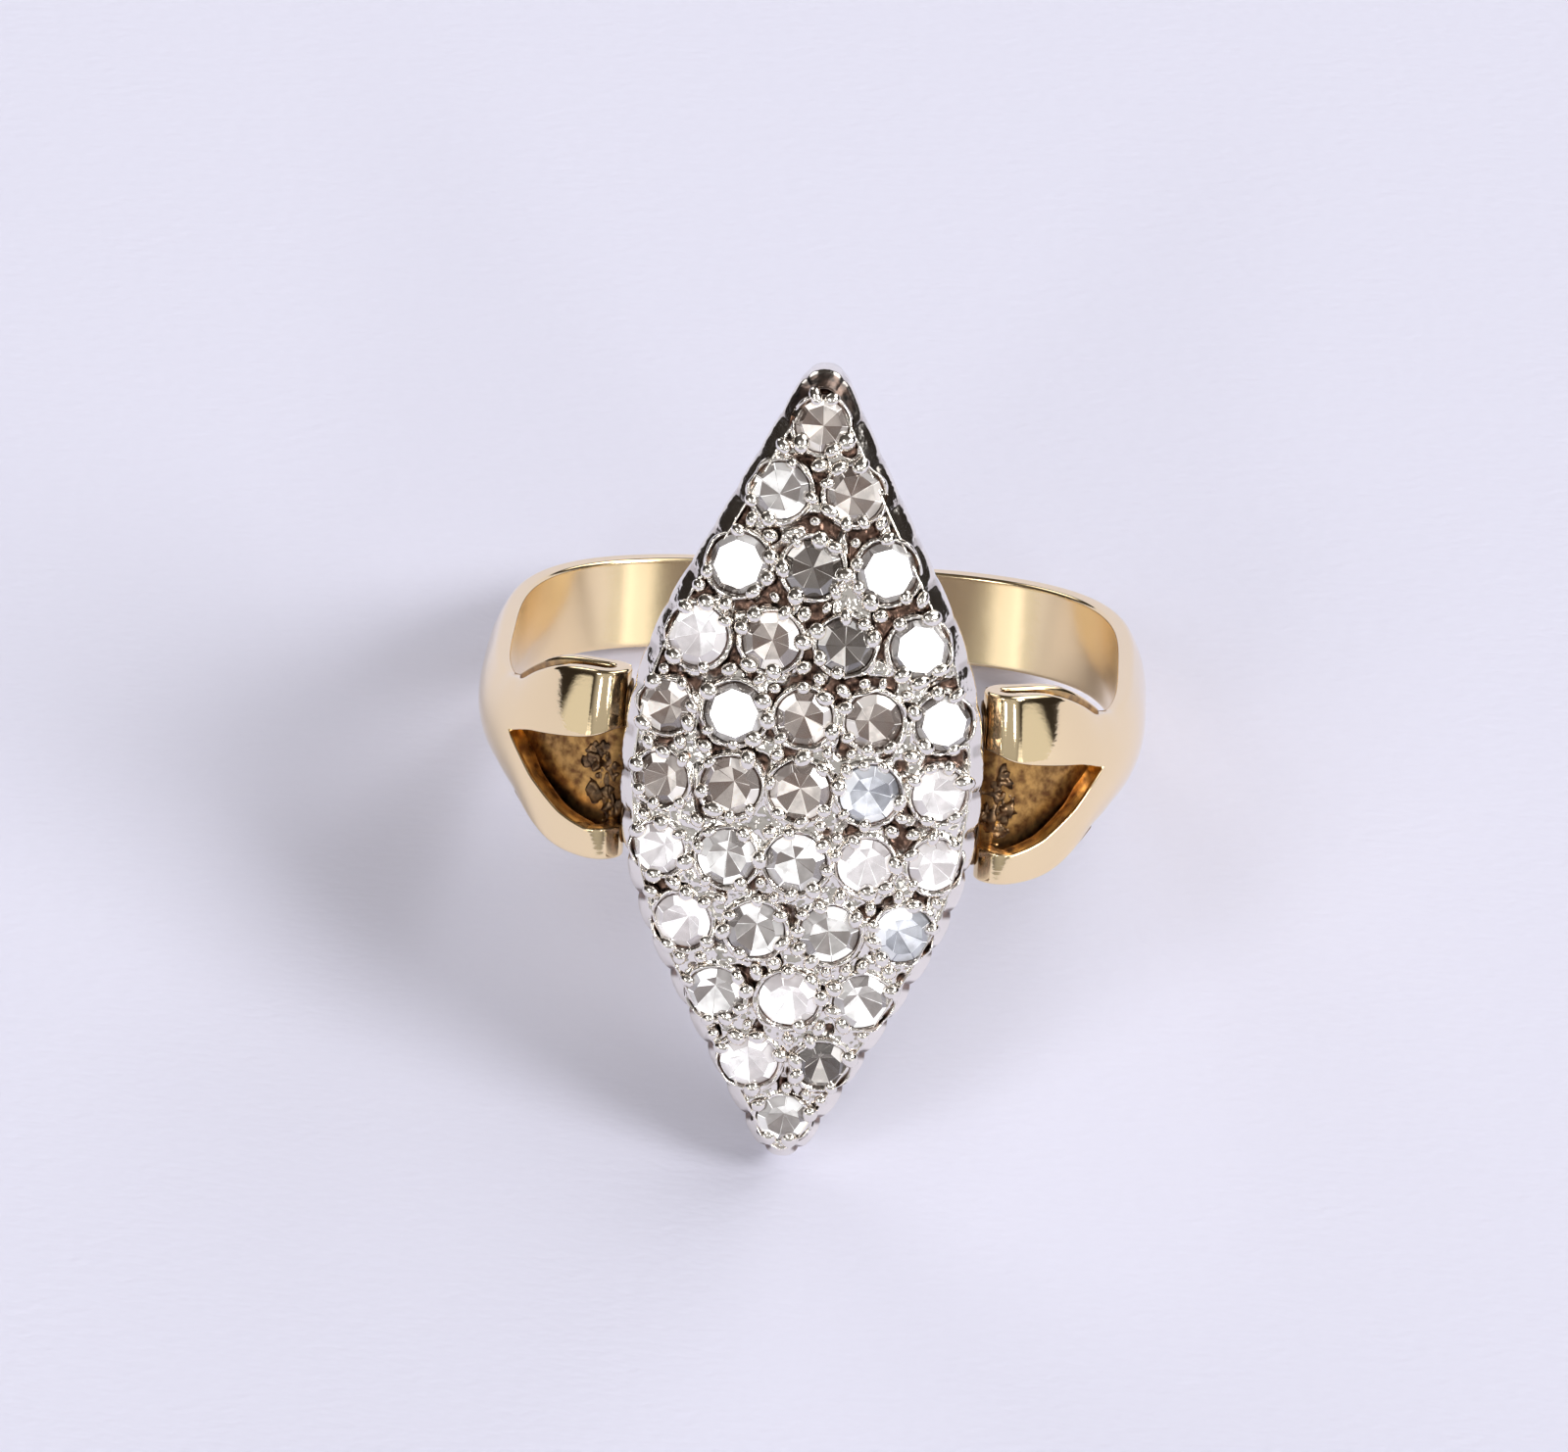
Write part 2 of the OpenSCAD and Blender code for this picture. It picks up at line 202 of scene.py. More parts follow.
def squarish(angle: Array, rx: Array, rz: Array, square: Array) -> tuple[Array, Array]:
    """A point of a rounded square: each side's reach times cosine or sine to the power 2 / square.

    Args:
        angle: angle from the x axis, in degrees.
        rx: reach along x.
        rz: reach along z.
        square: 2 for an ellipse, more for a squarer outline.

    Returns:
        x and z.
    """
    c, s = np.cos(np.radians(angle)), np.sin(np.radians(angle))
    return rx * np.sign(c) * np.abs(c) ** (2 / square), rz * np.sign(s) * np.abs(s) ** (2 / square)


def smoothstep(low: float, high: float, value: Array) -> Array:
    """Rises from 0 at low to 1 at high, as 3t² − 2t³; low may be above high."""
    t = np.clip((value - low) / (high - low), 0, 1)
    return t * t * (3 - 2 * t)


def soft_min(a: Array, b: Array, width: float) -> Array:
    """The lesser of two values, rounded over: −w·log(exp(−a/w) + exp(−b/w))."""
    return -width * np.logaddexp(-a / width, -b / width)


class SmoothTable:
    """A table of shares whose corners are rounded by averaging over a short width."""

    STEPS = 400

    def __init__(self, points: tuple[tuple[float, float], ...], width: float) -> None:
        """Samples the table and averages each sample with its neighbours.

        Args:
            points: pairs of place and value, with places that rise.
            width: half width of the average, as a share.
        """
        self.at = np.linspace(-0.2, 1.2, self.STEPS)
        places, values = np.array(points, float).T
        raw = np.interp(self.at, places, values)
        half = max(1, int(width / (self.at[1] - self.at[0])))
        kernel = np.hanning(2 * half + 3)[1:-1]
        padded = np.pad(raw, half, mode="edge")
        self.value = np.convolve(padded, kernel / kernel.sum(), mode="valid")

    def __call__(self, place: Array) -> Array:
        """The rounded table's value at a place."""
        return np.interp(place, self.at, self.value)


def value_noise(points: Array, cell: float, seed: int) -> Array:
    """Smooth noise from −1 to 1: random values on a lattice, blended between its eight corners.

    Args:
        points: points with x, y and z last.
        cell: size of a lattice cell, in the points' unit.
        seed: picks the random values.

    Returns:
        One value a point.
    """
    table = np.random.default_rng(seed).uniform(-1, 1, 4096)
    primes = np.array([73856093, 19349663, 83492791])
    scaled = points / cell
    base = np.floor(scaled).astype(np.int64)
    part = scaled - base
    part = part * part * (3 - 2 * part)
    total = np.zeros(points.shape[:-1])
    for corner in range(8):
        offset = np.array([corner & 1, corner >> 1 & 1, corner >> 2 & 1])
        weight = np.prod(np.where(offset == 1, part, 1 - part), axis=-1)
        key = (base + offset) @ primes
        total += weight * table[key % len(table)]
    return total


def grid_faces(rows: int, columns: int, closed: bool = False, looped: bool = False) -> Array:
    """Quads of a grid whose corners are numbered row by row.

    Args:
        rows: corners along the first parameter.
        columns: corners along the second.
        closed: whether the last column joins the first.
        looped: whether the last row joins the first.

    Returns:
        An array of quads, one for each step along both parameters.
    """
    down = rows if looped else rows - 1
    across = columns if closed else columns - 1
    i, k = np.meshgrid(np.arange(down), np.arange(across), indexing="ij")
    here, below = i * columns, (i + 1) % rows * columns
    right = (k + 1) % columns
    return np.stack([here + k, here + right, below + right, below + k], -1).reshape(-1, 4)


def zipped(ring: Array) -> Array:
    """Quads that close a ring of corners, zipped across from its ends."""
    k = np.arange(len(ring) // 2 - 1)
    return np.stack([ring[k], ring[k + 1], ring[-2 - k], ring[-1 - k]], -1)


def axes_about(normal: Array) -> Array:
    """The directions across and along a surface, and its normal, as rows."""
    along = np.cross(normal, [1, 0, 0])
    along /= np.linalg.norm(along)
    return np.stack([np.cross(along, normal), along, normal])


@dataclass
class Shell:
    """Corners in millimetres, quads, and each corner's tarnish and painted shade: 1 is full, 0 polished, −1
    satin.

    Corners and tarnish with painted shade may come as a grid, and are kept as a list. A cut stone also
    has a painted brightness for each face, as PLAIN_TABLE and its neighbours say.
    """

    points: Array
    quads: Array
    tarnish_and_shade: Array | float
    painted_glow: Array | None = None

    def __post_init__(self) -> None:
        """Makes lists of the grids, with the tarnish and painted shade spread over all corners."""
        self.tarnish_and_shade = np.broadcast_to(self.tarnish_and_shade, self.points.shape[:-1]).reshape(-1)
        self.points = self.points.reshape(-1, 3)

    def trimmed(self) -> "Shell":
        """The shell without the corners that no face uses."""
        used = np.zeros(len(self.points), bool)
        used[self.quads] = True
        return Shell(self.points[used], (np.cumsum(used) - 1)[self.quads], self.tarnish_and_shade[used])

    @staticmethod
    def joined(shells: list["Shell"]) -> "Shell":
        """One shell that holds all the given ones."""
        starts = np.cumsum([0] + [len(s.points) for s in shells[:-1]])
        return Shell(
            np.concatenate([s.points for s in shells]),
            np.concatenate([s.quads + start for s, start in zip(shells, starts)]),
            np.concatenate([s.tarnish_and_shade for s in shells]),
        )


def make_piece(name: str, shell: Shell, *materials: bpy.types.Material, weld: float = 0.0,
               outward: bool = False, crease: float = 0.0) -> bpy.types.Object:
    """Puts a shell into a new mesh object at the origin, with its place in its mesh.

    Args:
        name: the piece's name.
        shell: the corners, quads, and tarnish with painted shade.
        materials: the finish. A stone has three: for a plain table, for the faces of its
            pavilion, and for the rest.
        weld: distance in millimetres within which corners become one, or 0 to keep all.
        outward: whether the faces are turned to point out of the closed shell.
        crease: angle in degrees above which an edge stays sharp, or 0 for smooth all over.

    Returns:
        The object.
    """
    mesh = bpy.data.meshes.new(name)
    placed = LAID.place(shell.points)
    mesh.from_pydata(placed, [], shell.quads.tolist())
    layer = mesh.attributes.new("tarnish_and_shade", "FLOAT", "POINT")
    layer.data.foreach_set("value", shell.tarnish_and_shade.astype(np.float32))
    if shell.painted_glow is not None:
        painted_glow = mesh.attributes.new("painted_glow", "FLOAT", "FACE")
        painted_glow.data.foreach_set("value", shell.painted_glow.astype(np.float32))
    if weld or outward:
        work = bmesh.new()
        work.from_mesh(mesh)
        if weld:
            bmesh.ops.remove_doubles(work, verts=work.verts, dist=weld * MM)
            bmesh.ops.dissolve_degenerate(work, dist=weld * MM, edges=work.edges)
            loose = [v for v in work.verts if not v.link_faces]
            bmesh.ops.delete(work, geom=loose, context="VERTS")
        if outward:
            bmesh.ops.recalc_face_normals(work, faces=work.faces)
        work.to_mesh(mesh)
        work.free()
    mesh.shade_smooth()
    if crease:
        mesh.set_sharp_from_angle(angle=math.radians(crease))
    for material in materials:
        mesh.materials.append(material)
    if shell.painted_glow is not None:
        painted_glow = np.zeros(len(mesh.polygons), np.float32)
        mesh.attributes["painted_glow"].data.foreach_get("value", painted_glow)
        finish = np.where(painted_glow < (PLAIN_TABLE + FLASHING_TABLE) / 2, 2, painted_glow >= 0)
        mesh.polygons.foreach_set("material_index", finish.astype(np.int32))
    piece = bpy.data.objects.new(name, mesh)
    bpy.context.scene.collection.objects.link(piece)
    return piece


class NodePen:
    """Writes the nodes of one material around its shader."""

    def __init__(self, name: str) -> None:
        """Starts a material with its shader and output.

        Args:
            name: the material's name.
        """
        self.material = bpy.data.materials.new(name)
        self.material.use_nodes = True
        self.tree = self.material.node_tree
        self.shader = next(n for n in self.tree.nodes if n.type == "BSDF_PRINCIPLED")

    def add(self, kind: str, **settings: object) -> bpy.types.Node:
        """A new node with its settings; a setting named as an input is put on that input."""
        node = self.tree.nodes.new(kind)
        for key, value in settings.items():
            label = key.replace("_", " ").title()
            if label in node.inputs:
                node.inputs[label].default_value = value
            else:
                setattr(node, key, value)
        return node

    def link(self, source: bpy.types.NodeSocket, target: bpy.types.NodeSocket) -> None:
        """Joins two sockets."""
        self.tree.links.new(source, target)

    def place(self, stretch: tuple[float, float, float] = (1.0, 1.0, 1.0)) -> bpy.types.NodeSocket:
        """Object coordinates, stretched."""
        coordinates = self.add("ShaderNodeTexCoord")
        mapping = self.add("ShaderNodeMapping")
        mapping.inputs["Scale"].default_value = stretch
        self.link(coordinates.outputs["Object"], mapping.inputs["Vector"])
        return mapping.outputs["Vector"]

    def noise(self, scale: float, detail: float = 3.0,
              stretch: tuple[float, float, float] = (1.0, 1.0, 1.0)) -> bpy.types.NodeSocket:
        """Noise on object coordinates; scale counts waves a metre."""
        noise = self.add("ShaderNodeTexNoise", scale=scale, detail=detail)
        self.link(self.place(stretch), noise.inputs["Vector"])
        return noise.outputs["Fac"]

    def ramp(self, source: bpy.types.NodeSocket, low: float, high: float,
             to_low: float, to_high: float) -> bpy.types.NodeSocket:
        """Maps a range onto another, clamped."""
        node = self.add("ShaderNodeMapRange")
        for label, value in (("From Min", low), ("From Max", high), ("To Min", to_low), ("To Max", to_high)):
            node.inputs[label].default_value = value
        self.link(source, node.inputs["Value"])
        return node.outputs["Result"]

    def mix(self, factor: bpy.types.NodeSocket, first: tuple[float, ...] | bpy.types.NodeSocket,
            second: tuple[float, ...] | bpy.types.NodeSocket) -> bpy.types.NodeSocket:
        """Mixes two colours by a factor."""
        node = self.add("ShaderNodeMix", data_type="RGBA")
        colours = [s for s in node.inputs if s.type == "RGBA"]
        for socket, value in zip(colours, (first, second)):
            if isinstance(value, bpy.types.NodeSocket):
                self.link(value, socket)
            else:
                socket.default_value = (*value, 1.0)
        self.link(factor, node.inputs["Factor"])
        return next(s for s in node.outputs if s.type == "RGBA")

    def bump(self, height: bpy.types.NodeSocket, strength: float, distance: float,
             under: bpy.types.NodeSocket | None = None) -> bpy.types.NodeSocket:
        """A bump normal of a height in metres."""
        node = self.add("ShaderNodeBump", strength=strength, distance=distance)
        self.link(height, node.inputs["Height"])
        if under is not None:
            self.link(under, node.inputs["Normal"])
        return node.outputs["Normal"]

    def corner_share(self, full: float) -> bpy.types.NodeSocket:
        """Share from 0 to 1 of the tarnish and painted shade kept at the mesh's corners, where full counts as
        1.
        """
        kept = self.add("ShaderNodeAttribute", attribute_name="tarnish_and_shade").outputs["Fac"]
        return self.ramp(kept, 0.0, full, 0.0, 1.0)

    def mix_value(self, factor: bpy.types.NodeSocket, first: float | bpy.types.NodeSocket,
                  second: float) -> bpy.types.NodeSocket:
        """Mixes two values by a factor."""
        node = self.add("ShaderNodeMix", data_type="FLOAT")
        self.link(factor, node.inputs["Factor"])
        values = [n for n in node.inputs if n.type == "VALUE"][1:]
        if isinstance(first, bpy.types.NodeSocket):
            self.link(first, values[0])
        else:
            values[0].default_value = first
        values[1].default_value = second
        return next(o for o in node.outputs if o.type == "VALUE")


@dataclass(frozen=True)
class PolishedMetal:
    """Polished precious metal with fine wear, dark tarnish where it is never wiped, and painted shade.

    The depths of the hammering and the scratches are in metres, and scales count waves a metre.
    """

    name: str
    colour: tuple[float, float, float]
    tarnish_and_shade_colour: tuple[float, float, float]
    tarnish_and_shade_pale: tuple[float, float, float]
    roughness: float
    tarnish_and_shade_roughness: float
    hammer: float
    hammer_scale: float
    scratch: float

    PATCH_SCALE = 3500.0
    WEAR_SCALE = 900.0
    SCRATCH_SCALE = 9000.0
    SATIN = 0.2

    def build(self) -> bpy.types.Material:
        """The finished material."""
        pen = NodePen(self.name)
        shader = pen.shader
        tarnish_and_shade = pen.corner_share(1.0)
        patches = pen.ramp(pen.noise(self.PATCH_SCALE, 4.0), 0.35, 0.65, 0.0, 1.0)
        # The dark colours serve both as tarnish and as painted shade, as far as the corners' values ask
        dark = pen.mix(patches, self.tarnish_and_shade_colour, self.tarnish_and_shade_pale)
        pen.link(pen.mix(tarnish_and_shade, self.colour, dark), shader.inputs["Base Color"])
        shader.inputs["Metallic"].default_value = 1.0
        wear = pen.noise(self.WEAR_SCALE, 5.0)
        wear = pen.ramp(wear, 0.3, 0.7, self.roughness * 0.7, self.roughness * 1.5)
        polished = pen.mix_value(pen.corner_share(-1.0), wear, self.SATIN)
        pen.link(pen.mix_value(tarnish_and_shade, polished, self.tarnish_and_shade_roughness), shader.inputs["Roughness"])
        hammered = pen.bump(pen.noise(self.hammer_scale, 2.0), 1.0, self.hammer)
        lines = pen.noise(self.SCRATCH_SCALE, 2.0, (0.15, 1.0, 1.0))
        scratches = pen.bump(lines, 1.0, self.scratch, hammered)
        pen.link(scratches, shader.inputs["Normal"])
        return pen.material


YELLOW_GOLD = PolishedMetal(
    "yellow_gold_polish", colour=(0.98, 0.785, 0.49),
    tarnish_and_shade_colour=(0.15, 0.07, 0.03), tarnish_and_shade_pale=(0.5, 0.285, 0.1),
    roughness=0.06, tarnish_and_shade_roughness=0.3, hammer=0.000016, hammer_scale=420.0, scratch=0.0000015,
)
WHITE_GOLD = PolishedMetal(
    "white_gold_polish", colour=(0.88, 0.835, 0.775),
    tarnish_and_shade_colour=(0.03, 0.018, 0.014), tarnish_and_shade_pale=(0.23, 0.14, 0.105),
    roughness=0.1, tarnish_and_shade_roughness=0.3, hammer=0.00004, hammer_scale=2600.0, scratch=0.000001,
)
SOLDER = PolishedMetal(
    "old_solder", colour=(0.5, 0.4, 0.3),
    tarnish_and_shade_colour=(0.06, 0.035, 0.02), tarnish_and_shade_pale=(0.3, 0.18, 0.09),
    roughness=0.25, tarnish_and_shade_roughness=0.38, hammer=0.00001, hammer_scale=2600.0, scratch=0.000002,
)

# Values kept on a stone's faces. A pavilion face has its painted brightness, from 0 to 1, and a crown
# face has CROWN less its painted brightness, which its finish takes as full at FULL_CROWN
PLAIN_TABLE, FLASHING_TABLE, CROWN, FULL_CROWN = -1.0, -2.0, -2.05, -3.0
# Share of the inner light that a stone's faces give back themselves, as painted, emitted light
PAINTED_RETURN_STRENGTH = 0.8
# How much light a crown face lets through
CROWN_CLEARNESS = 0.45


@dataclass(frozen=True)
class StoneLook:
    """A kind of stone: its colour and clearness, and its faces' darkest colour and brightnesses, as painted
    shade and light.
    """

    colour: tuple[float, float, float]
    clearness: float
    dark: tuple[float, float, float]
    brightnesses: tuple[float, ...]


class StoneTint(Enum):
    """The kinds of stone in the cluster."""

    CLEAR = StoneLook((0.99, 0.99, 0.99), 1.0, (0.12, 0.095, 0.085), (0.3, 0.9, 0.45, 1.0, 0.65))
    BROWN = StoneLook((0.98, 0.95, 0.92), 0.97, (0.12, 0.085, 0.07), (0.1, 0.75, 0.3, 1.0, 0.45))
    GREY = StoneLook((0.96, 0.93, 0.9), 0.98, (0.065, 0.05, 0.042), (0.05, 0.35, 0.15, 0.9, 0.25))
    MILKY = StoneLook((0.98, 0.98, 0.99), 0.82, (0.33, 0.29, 0.29), (0.45, 0.9, 0.6, 1.0, 0.7))
    BLUE = StoneLook((0.96, 0.97, 1.0), 0.97, (0.16, 0.165, 0.19), (0.4, 0.9, 0.55, 1.0, 0.7))

    def clear(self, bend: float) -> bpy.types.Material:
        """The clear finish of a stone's table or crown, with painted light on the crown's faces, as colour
        and as emitted light.

        Args:
            bend: the refractive index, lower where the stone's inside has to show.

        Returns:
            The material.
        """
        look = self.value
        pen = NodePen(f"stone_{self.name.lower()}_{bend:.1f}")
        shader = pen.shader
        cloud = pen.ramp(pen.noise(1400.0, 2.0), 0.3, 0.75, 0.0, 1.0)
        body = pen.mix(cloud, look.colour, tuple(c * 0.93 for c in look.colour))
        painted_glow = pen.add("ShaderNodeAttribute", attribute_name="painted_glow").outputs["Fac"]
        bright = pen.ramp(painted_glow, FLASHING_TABLE, FULL_CROWN, 0.0, 1.0)
        shade = pen.mix(bright, look.dark, body)
        facet = pen.ramp(painted_glow, PLAIN_TABLE, FLASHING_TABLE, 0.0, 1.0)
        pen.link(pen.mix(facet, body, shade), shader.inputs["Base Color"])
        pen.link(shade, shader.inputs["Emission Color"])
        returned = pen.ramp(painted_glow, FLASHING_TABLE, FULL_CROWN, 0.0, PAINTED_RETURN_STRENGTH)
        pen.link(returned, shader.inputs["Emission Strength"])
        through = pen.ramp(painted_glow, FLASHING_TABLE, -2.1, look.clearness, CROWN_CLEARNESS)
        pen.link(through, shader.inputs["Transmission Weight"])
        shader.inputs["IOR"].default_value = bend
        shader.inputs["Roughness"].default_value = 0.0
        return pen.material

    def back(self) -> bpy.types.Material:
        """The mirroring faces of a stone's pavilion, each as bright as its mesh says, by painted colour and
        emitted light.

        A real stone hands the room's light to and fro inside until it leaves by the table. A few
        reflections lose it, so a part is painted back as the faces' own emitted light.
        """
        look = self.value
        pen = NodePen("stone_back_" + self.name.lower())
        shader = pen.shader
        painted_glow = pen.add("ShaderNodeAttribute", attribute_name="painted_glow").outputs["Fac"]
        specks = pen.ramp(pen.noise(2600.0, 3.0), 0.42, 0.62, 0.0, 0.35)
        shade = pen.mix(painted_glow, look.dark, look.colour)
        shade = pen.mix(specks, shade, tuple(c * 0.5 + 0.1 for c in look.dark))
        pen.link(shade, shader.inputs["Base Color"])
        pen.link(shade, shader.inputs["Emission Color"])
        shader.inputs["Emission Strength"].default_value = PAINTED_RETURN_STRENGTH
        shader.inputs["Metallic"].default_value = 0.25
        shader.inputs["Roughness"].default_value = 0.12
        return pen.material


# Tint of each stone, and its diameter against the solid one's, row by row from the upper point
TINTS = (
    "BROWN",
    "CLEAR BROWN",
    "CLEAR GREY CLEAR",
    "MILKY BROWN GREY CLEAR",
    "BROWN CLEAR BROWN BROWN CLEAR",
    "BROWN BROWN BROWN BLUE MILKY",
    "MILKY CLEAR CLEAR MILKY MILKY",
    "MILKY CLEAR CLEAR BLUE",
    "CLEAR MILKY CLEAR",
    "MILKY GREY",
    "CLEAR",
)
FULLNESS = (
    (0.87,),
    (0.94, 0.92),
    (1.0, 0.95, 1.0),
    (1.0, 0.96, 0.92, 0.98),
    (0.94, 1.0, 0.92, 0.93, 1.0),
    (0.96, 0.98, 1.0, 1.0, 0.98),
    (0.94, 0.98, 1.0, 0.93, 0.96),
    (0.96, 0.96, 1.0, 0.98),
    (0.93, 1.0, 0.96),
    (0.97, 0.88),
    (0.86,),
)


@dataclass(frozen=True)
class Nose:
    """The round end of a shoulder: a circle that touches its outside, its lining and its end."""

    x: float
    z: float
    r: float
    angle_out: float
    angle_in: float
    at_out: float
    at_in: float

    RADII = (0.2, 2.0)
    HEADROOM = 4
    HALVINGS = 40

    @staticmethod
    def between(outside: Array, lining: Array, angles: Array, end: float) -> "Nose":
        """Finds the circle by halving its radius and height until both sides are met.

        Args:
            outside: points x, z of the shoulder's outside.
            lining: points x, z of the hole's lining.
            angles: the angle at which each of those points was taken.
            end: x of the shoulder's end.

        Returns:
            The nose.
        """
        def gap(curve: Array, x: float, z: float) -> float:
            """Least distance from a curve."""
            return float(np.hypot(curve[:, 0] - x, curve[:, 1] - z).min())

        low, high = Nose.RADII
        for _ in range(Nose.HALVINGS):
            r = (low + high) / 2
            bottom = float(np.interp(end + r, lining[::-1, 0], lining[::-1, 1]))
            top = bottom + Nose.HEADROOM
            for _ in range(Nose.HALVINGS):
                z = (bottom + top) / 2
                bottom, top = (z, top) if gap(lining, end + r, z) < r else (bottom, z)
            low, high = (r, high) if gap(outside, end + r, z) > r else (low, r)
        x = end + r
        out = int(np.hypot(outside[:, 0] - x, outside[:, 1] - z).argmin())
        inn = int(np.hypot(lining[:, 0] - x, lining[:, 1] - z).argmin())
        toward_out, toward_in = outside[out] - (x, z), lining[inn] - (x, z)
        return Nose(
            x, z, r,
            math.degrees(math.atan2(toward_out[1], toward_out[0])),
            math.degrees(math.atan2(toward_in[1], toward_in[0])) % 360,
            float(angles[out]), float(angles[inn]),
        )


class Shank:
    """The yellow band with its split, pierced shoulders."""

    # The band's widening, by the share of the way from its back to its front
    WIDTHS = SmoothTable(
        ((0, 0), (0.75, 0), (0.82, 0.18), (0.86, 0.52), (0.9, 0.85), (0.93, 0.98), (1, 1)), 0.03
    )
    # The leaf's upper and lower edge, by the share of the way from its point to its open end
    LEAF_TOP = SmoothTable(
        ((0, 0), (0.14, 0.3), (0.32, 0.46), (0.5, 0.62), (0.63, 0.8), (0.74, 1), (1, 1.1)), 0.05
    )
    LEAF_LOW = SmoothTable(
        ((0, 0), (0.08, 0.23), (0.16, 0.48), (0.26, 0.68), (0.36, 0.86), (0.45, 0.95), (0.56, 1.02),
         (0.74, 1), (1, 0.95)), 0.04
    )
    # Where the strips part from the lining, as a distance across the finger
    CROTCH_X = 8.0
    # Corners of a section: along its outside or inside, around one of its edges, and up a wall
    FLAT, ROUND, WALL = 15, 5, 5
    SECTION = 2 * FLAT + 4 * ROUND + 2 * WALL
    LEAF_SIDE = 2 * ROUND + WALL + 1
    # Least and greatest x, y and radius of a lump of solder
    LUMPS_FROM, LUMPS_TO = (5.5, -1.75, 0.2), (6.2, 0.2, 0.38)

    def __init__(self, sizes: RingSizes, stations: int = 250, turns: int = 44, edge_r: float = 0.11,
                 leaf_r: float = 0.07, shoulder_drop: float = 0.24) -> None:
        """Works out the shoulders' round ends and the stations along half of the band.

        Args:
            sizes: the ring's sizes.
            stations: stations from the middle of the back to a shoulder's round end.
            turns: stations around that end.
            edge_r: rounding of the band's edges.
            leaf_r: rounding of the pierced leaf's edges.
            shoulder_drop: how far the shoulders sit towards the head's lower point.
        """
        self.sizes = sizes
        self.shoulder_drop = shoulder_drop
        self.edge_r, self.leaf_r = edge_r, leaf_r
        fine = np.linspace(-90, 89, 6000)
        hole = np.stack(self.hole(fine), -1)
        upper = fine > 20
        self.noses = []
        for share in (0.0, 1.0):
            x, _, z = self.outside(fine, np.full_like(fine, share))
            side = np.stack([x, z], -1)
            self.noses.append(Nose.between(side[upper], hole[upper], fine[upper], sizes.arm_end))
        x, _, z = self.outside(fine, np.zeros_like(fine))
        until = fine <= self.noses[0].at_out
        length = np.concatenate([[0], np.cumsum(np.hypot(np.diff(x[until]), np.diff(z[until])))])
        self.angle = np.interp(np.linspace(0, length[-1], stations), length, fine[until])
        self.end_half = float(self.outside(self.angle[-1:], np.ones(1))[1][0])
        self.turn = np.linspace(0, 1, turns + 1)[1:]
        front = until & (fine > 0)
        self.crotch = float(np.interp(-self.CROTCH_X, -x[front], fine[front]))

    def hole(self, angle: Array) -> tuple[Array, Array]:
        """x and z of the finger hole at an angle around the finger."""
        s = self.sizes
        up = np.sin(np.radians(angle)) > 0
        return squarish(angle, s.hole_x, np.where(up, s.finger_front, s.finger_back),
                        np.where(up, s.front_square, s.back_square))

    def outside(self, angle: Array, share: Array) -> tuple[Array, Array, Array]:
        """A point of the band's crowned outside.

        The middle is a rounded square; its reach falls by the crown times the square of the share
        of the half width, and the back is straight in the middle.

        Args:
            angle: angle around the finger, in degrees.
            share: share of the half width, from −1 to 1.

        Returns:
            x, y and z.
        """
        s = self.sizes
        up = np.sin(np.radians(angle)) > 0
        reach = np.where(up, s.front_z, s.back_z)
        square = np.where(up, s.shoulder_square, s.back_square)
        _, middle = squarish(angle, s.side_x, reach, square)
        widened = self.WIDTHS((middle + s.back_z) / (s.back_z + s.front_z))
        crown = (s.band_crown + (s.shoulder_crown - s.band_crown) * widened) * share * share
        x, z = squarish(angle, s.side_x - crown, reach - crown, square)
        flat = (s.back_z - crown) * math.cos(math.radians(s.flat_angle)) ** (2 / s.back_square)
        z = np.where(up, z, -soft_min(-z, flat, 0.03))
        half = s.band_w / 2 + (s.shoulder_w - s.band_w) / 2 * widened
        return x, share * half, z

    def outer(self, share: Array) -> Array:
        """Points of the outside at every station, for shares of the half width.

        Along the band they follow its outside. Around a shoulder's end they follow a circle whose
        size and place change with the square of the share, as the crown does, and the last ones
        sink into the lining.

        Args:
            share: one row a station.

        Returns:
            An array of stations × shares × 3.
        """
        first, last = self.noses
        square = share * share
        count = len(self.angle)
        body, nose = share[:count], share[count:]
        shift = (last.at_out - first.at_out) * square[:count]
        angle = self.angle[:, None] + shift * smoothstep(first.at_out - 14, first.at_out, self.angle)[:, None]
        along = np.stack(self.outside(angle, body), -1)
        square = square[count:]
        r = first.r + (last.r - first.r) * square
        z = first.z + (last.z - first.z) * square
        start = first.angle_out + (last.angle_out - first.angle_out) * square
        stop = first.angle_in + (last.angle_in - first.angle_in) * square
        turned = np.radians(start + (stop + 6 - start) * self.turn[:, None])
        sunk = 1 - 0.05 * smoothstep(0.93, 1.0, self.turn)[:, None]
        around = np.stack([
            self.sizes.arm_end + r + r * sunk * np.cos(turned),
            nose * self.end_half,
            z + r * sunk * np.sin(turned),
        ], -1)
        return np.concatenate([along, around])

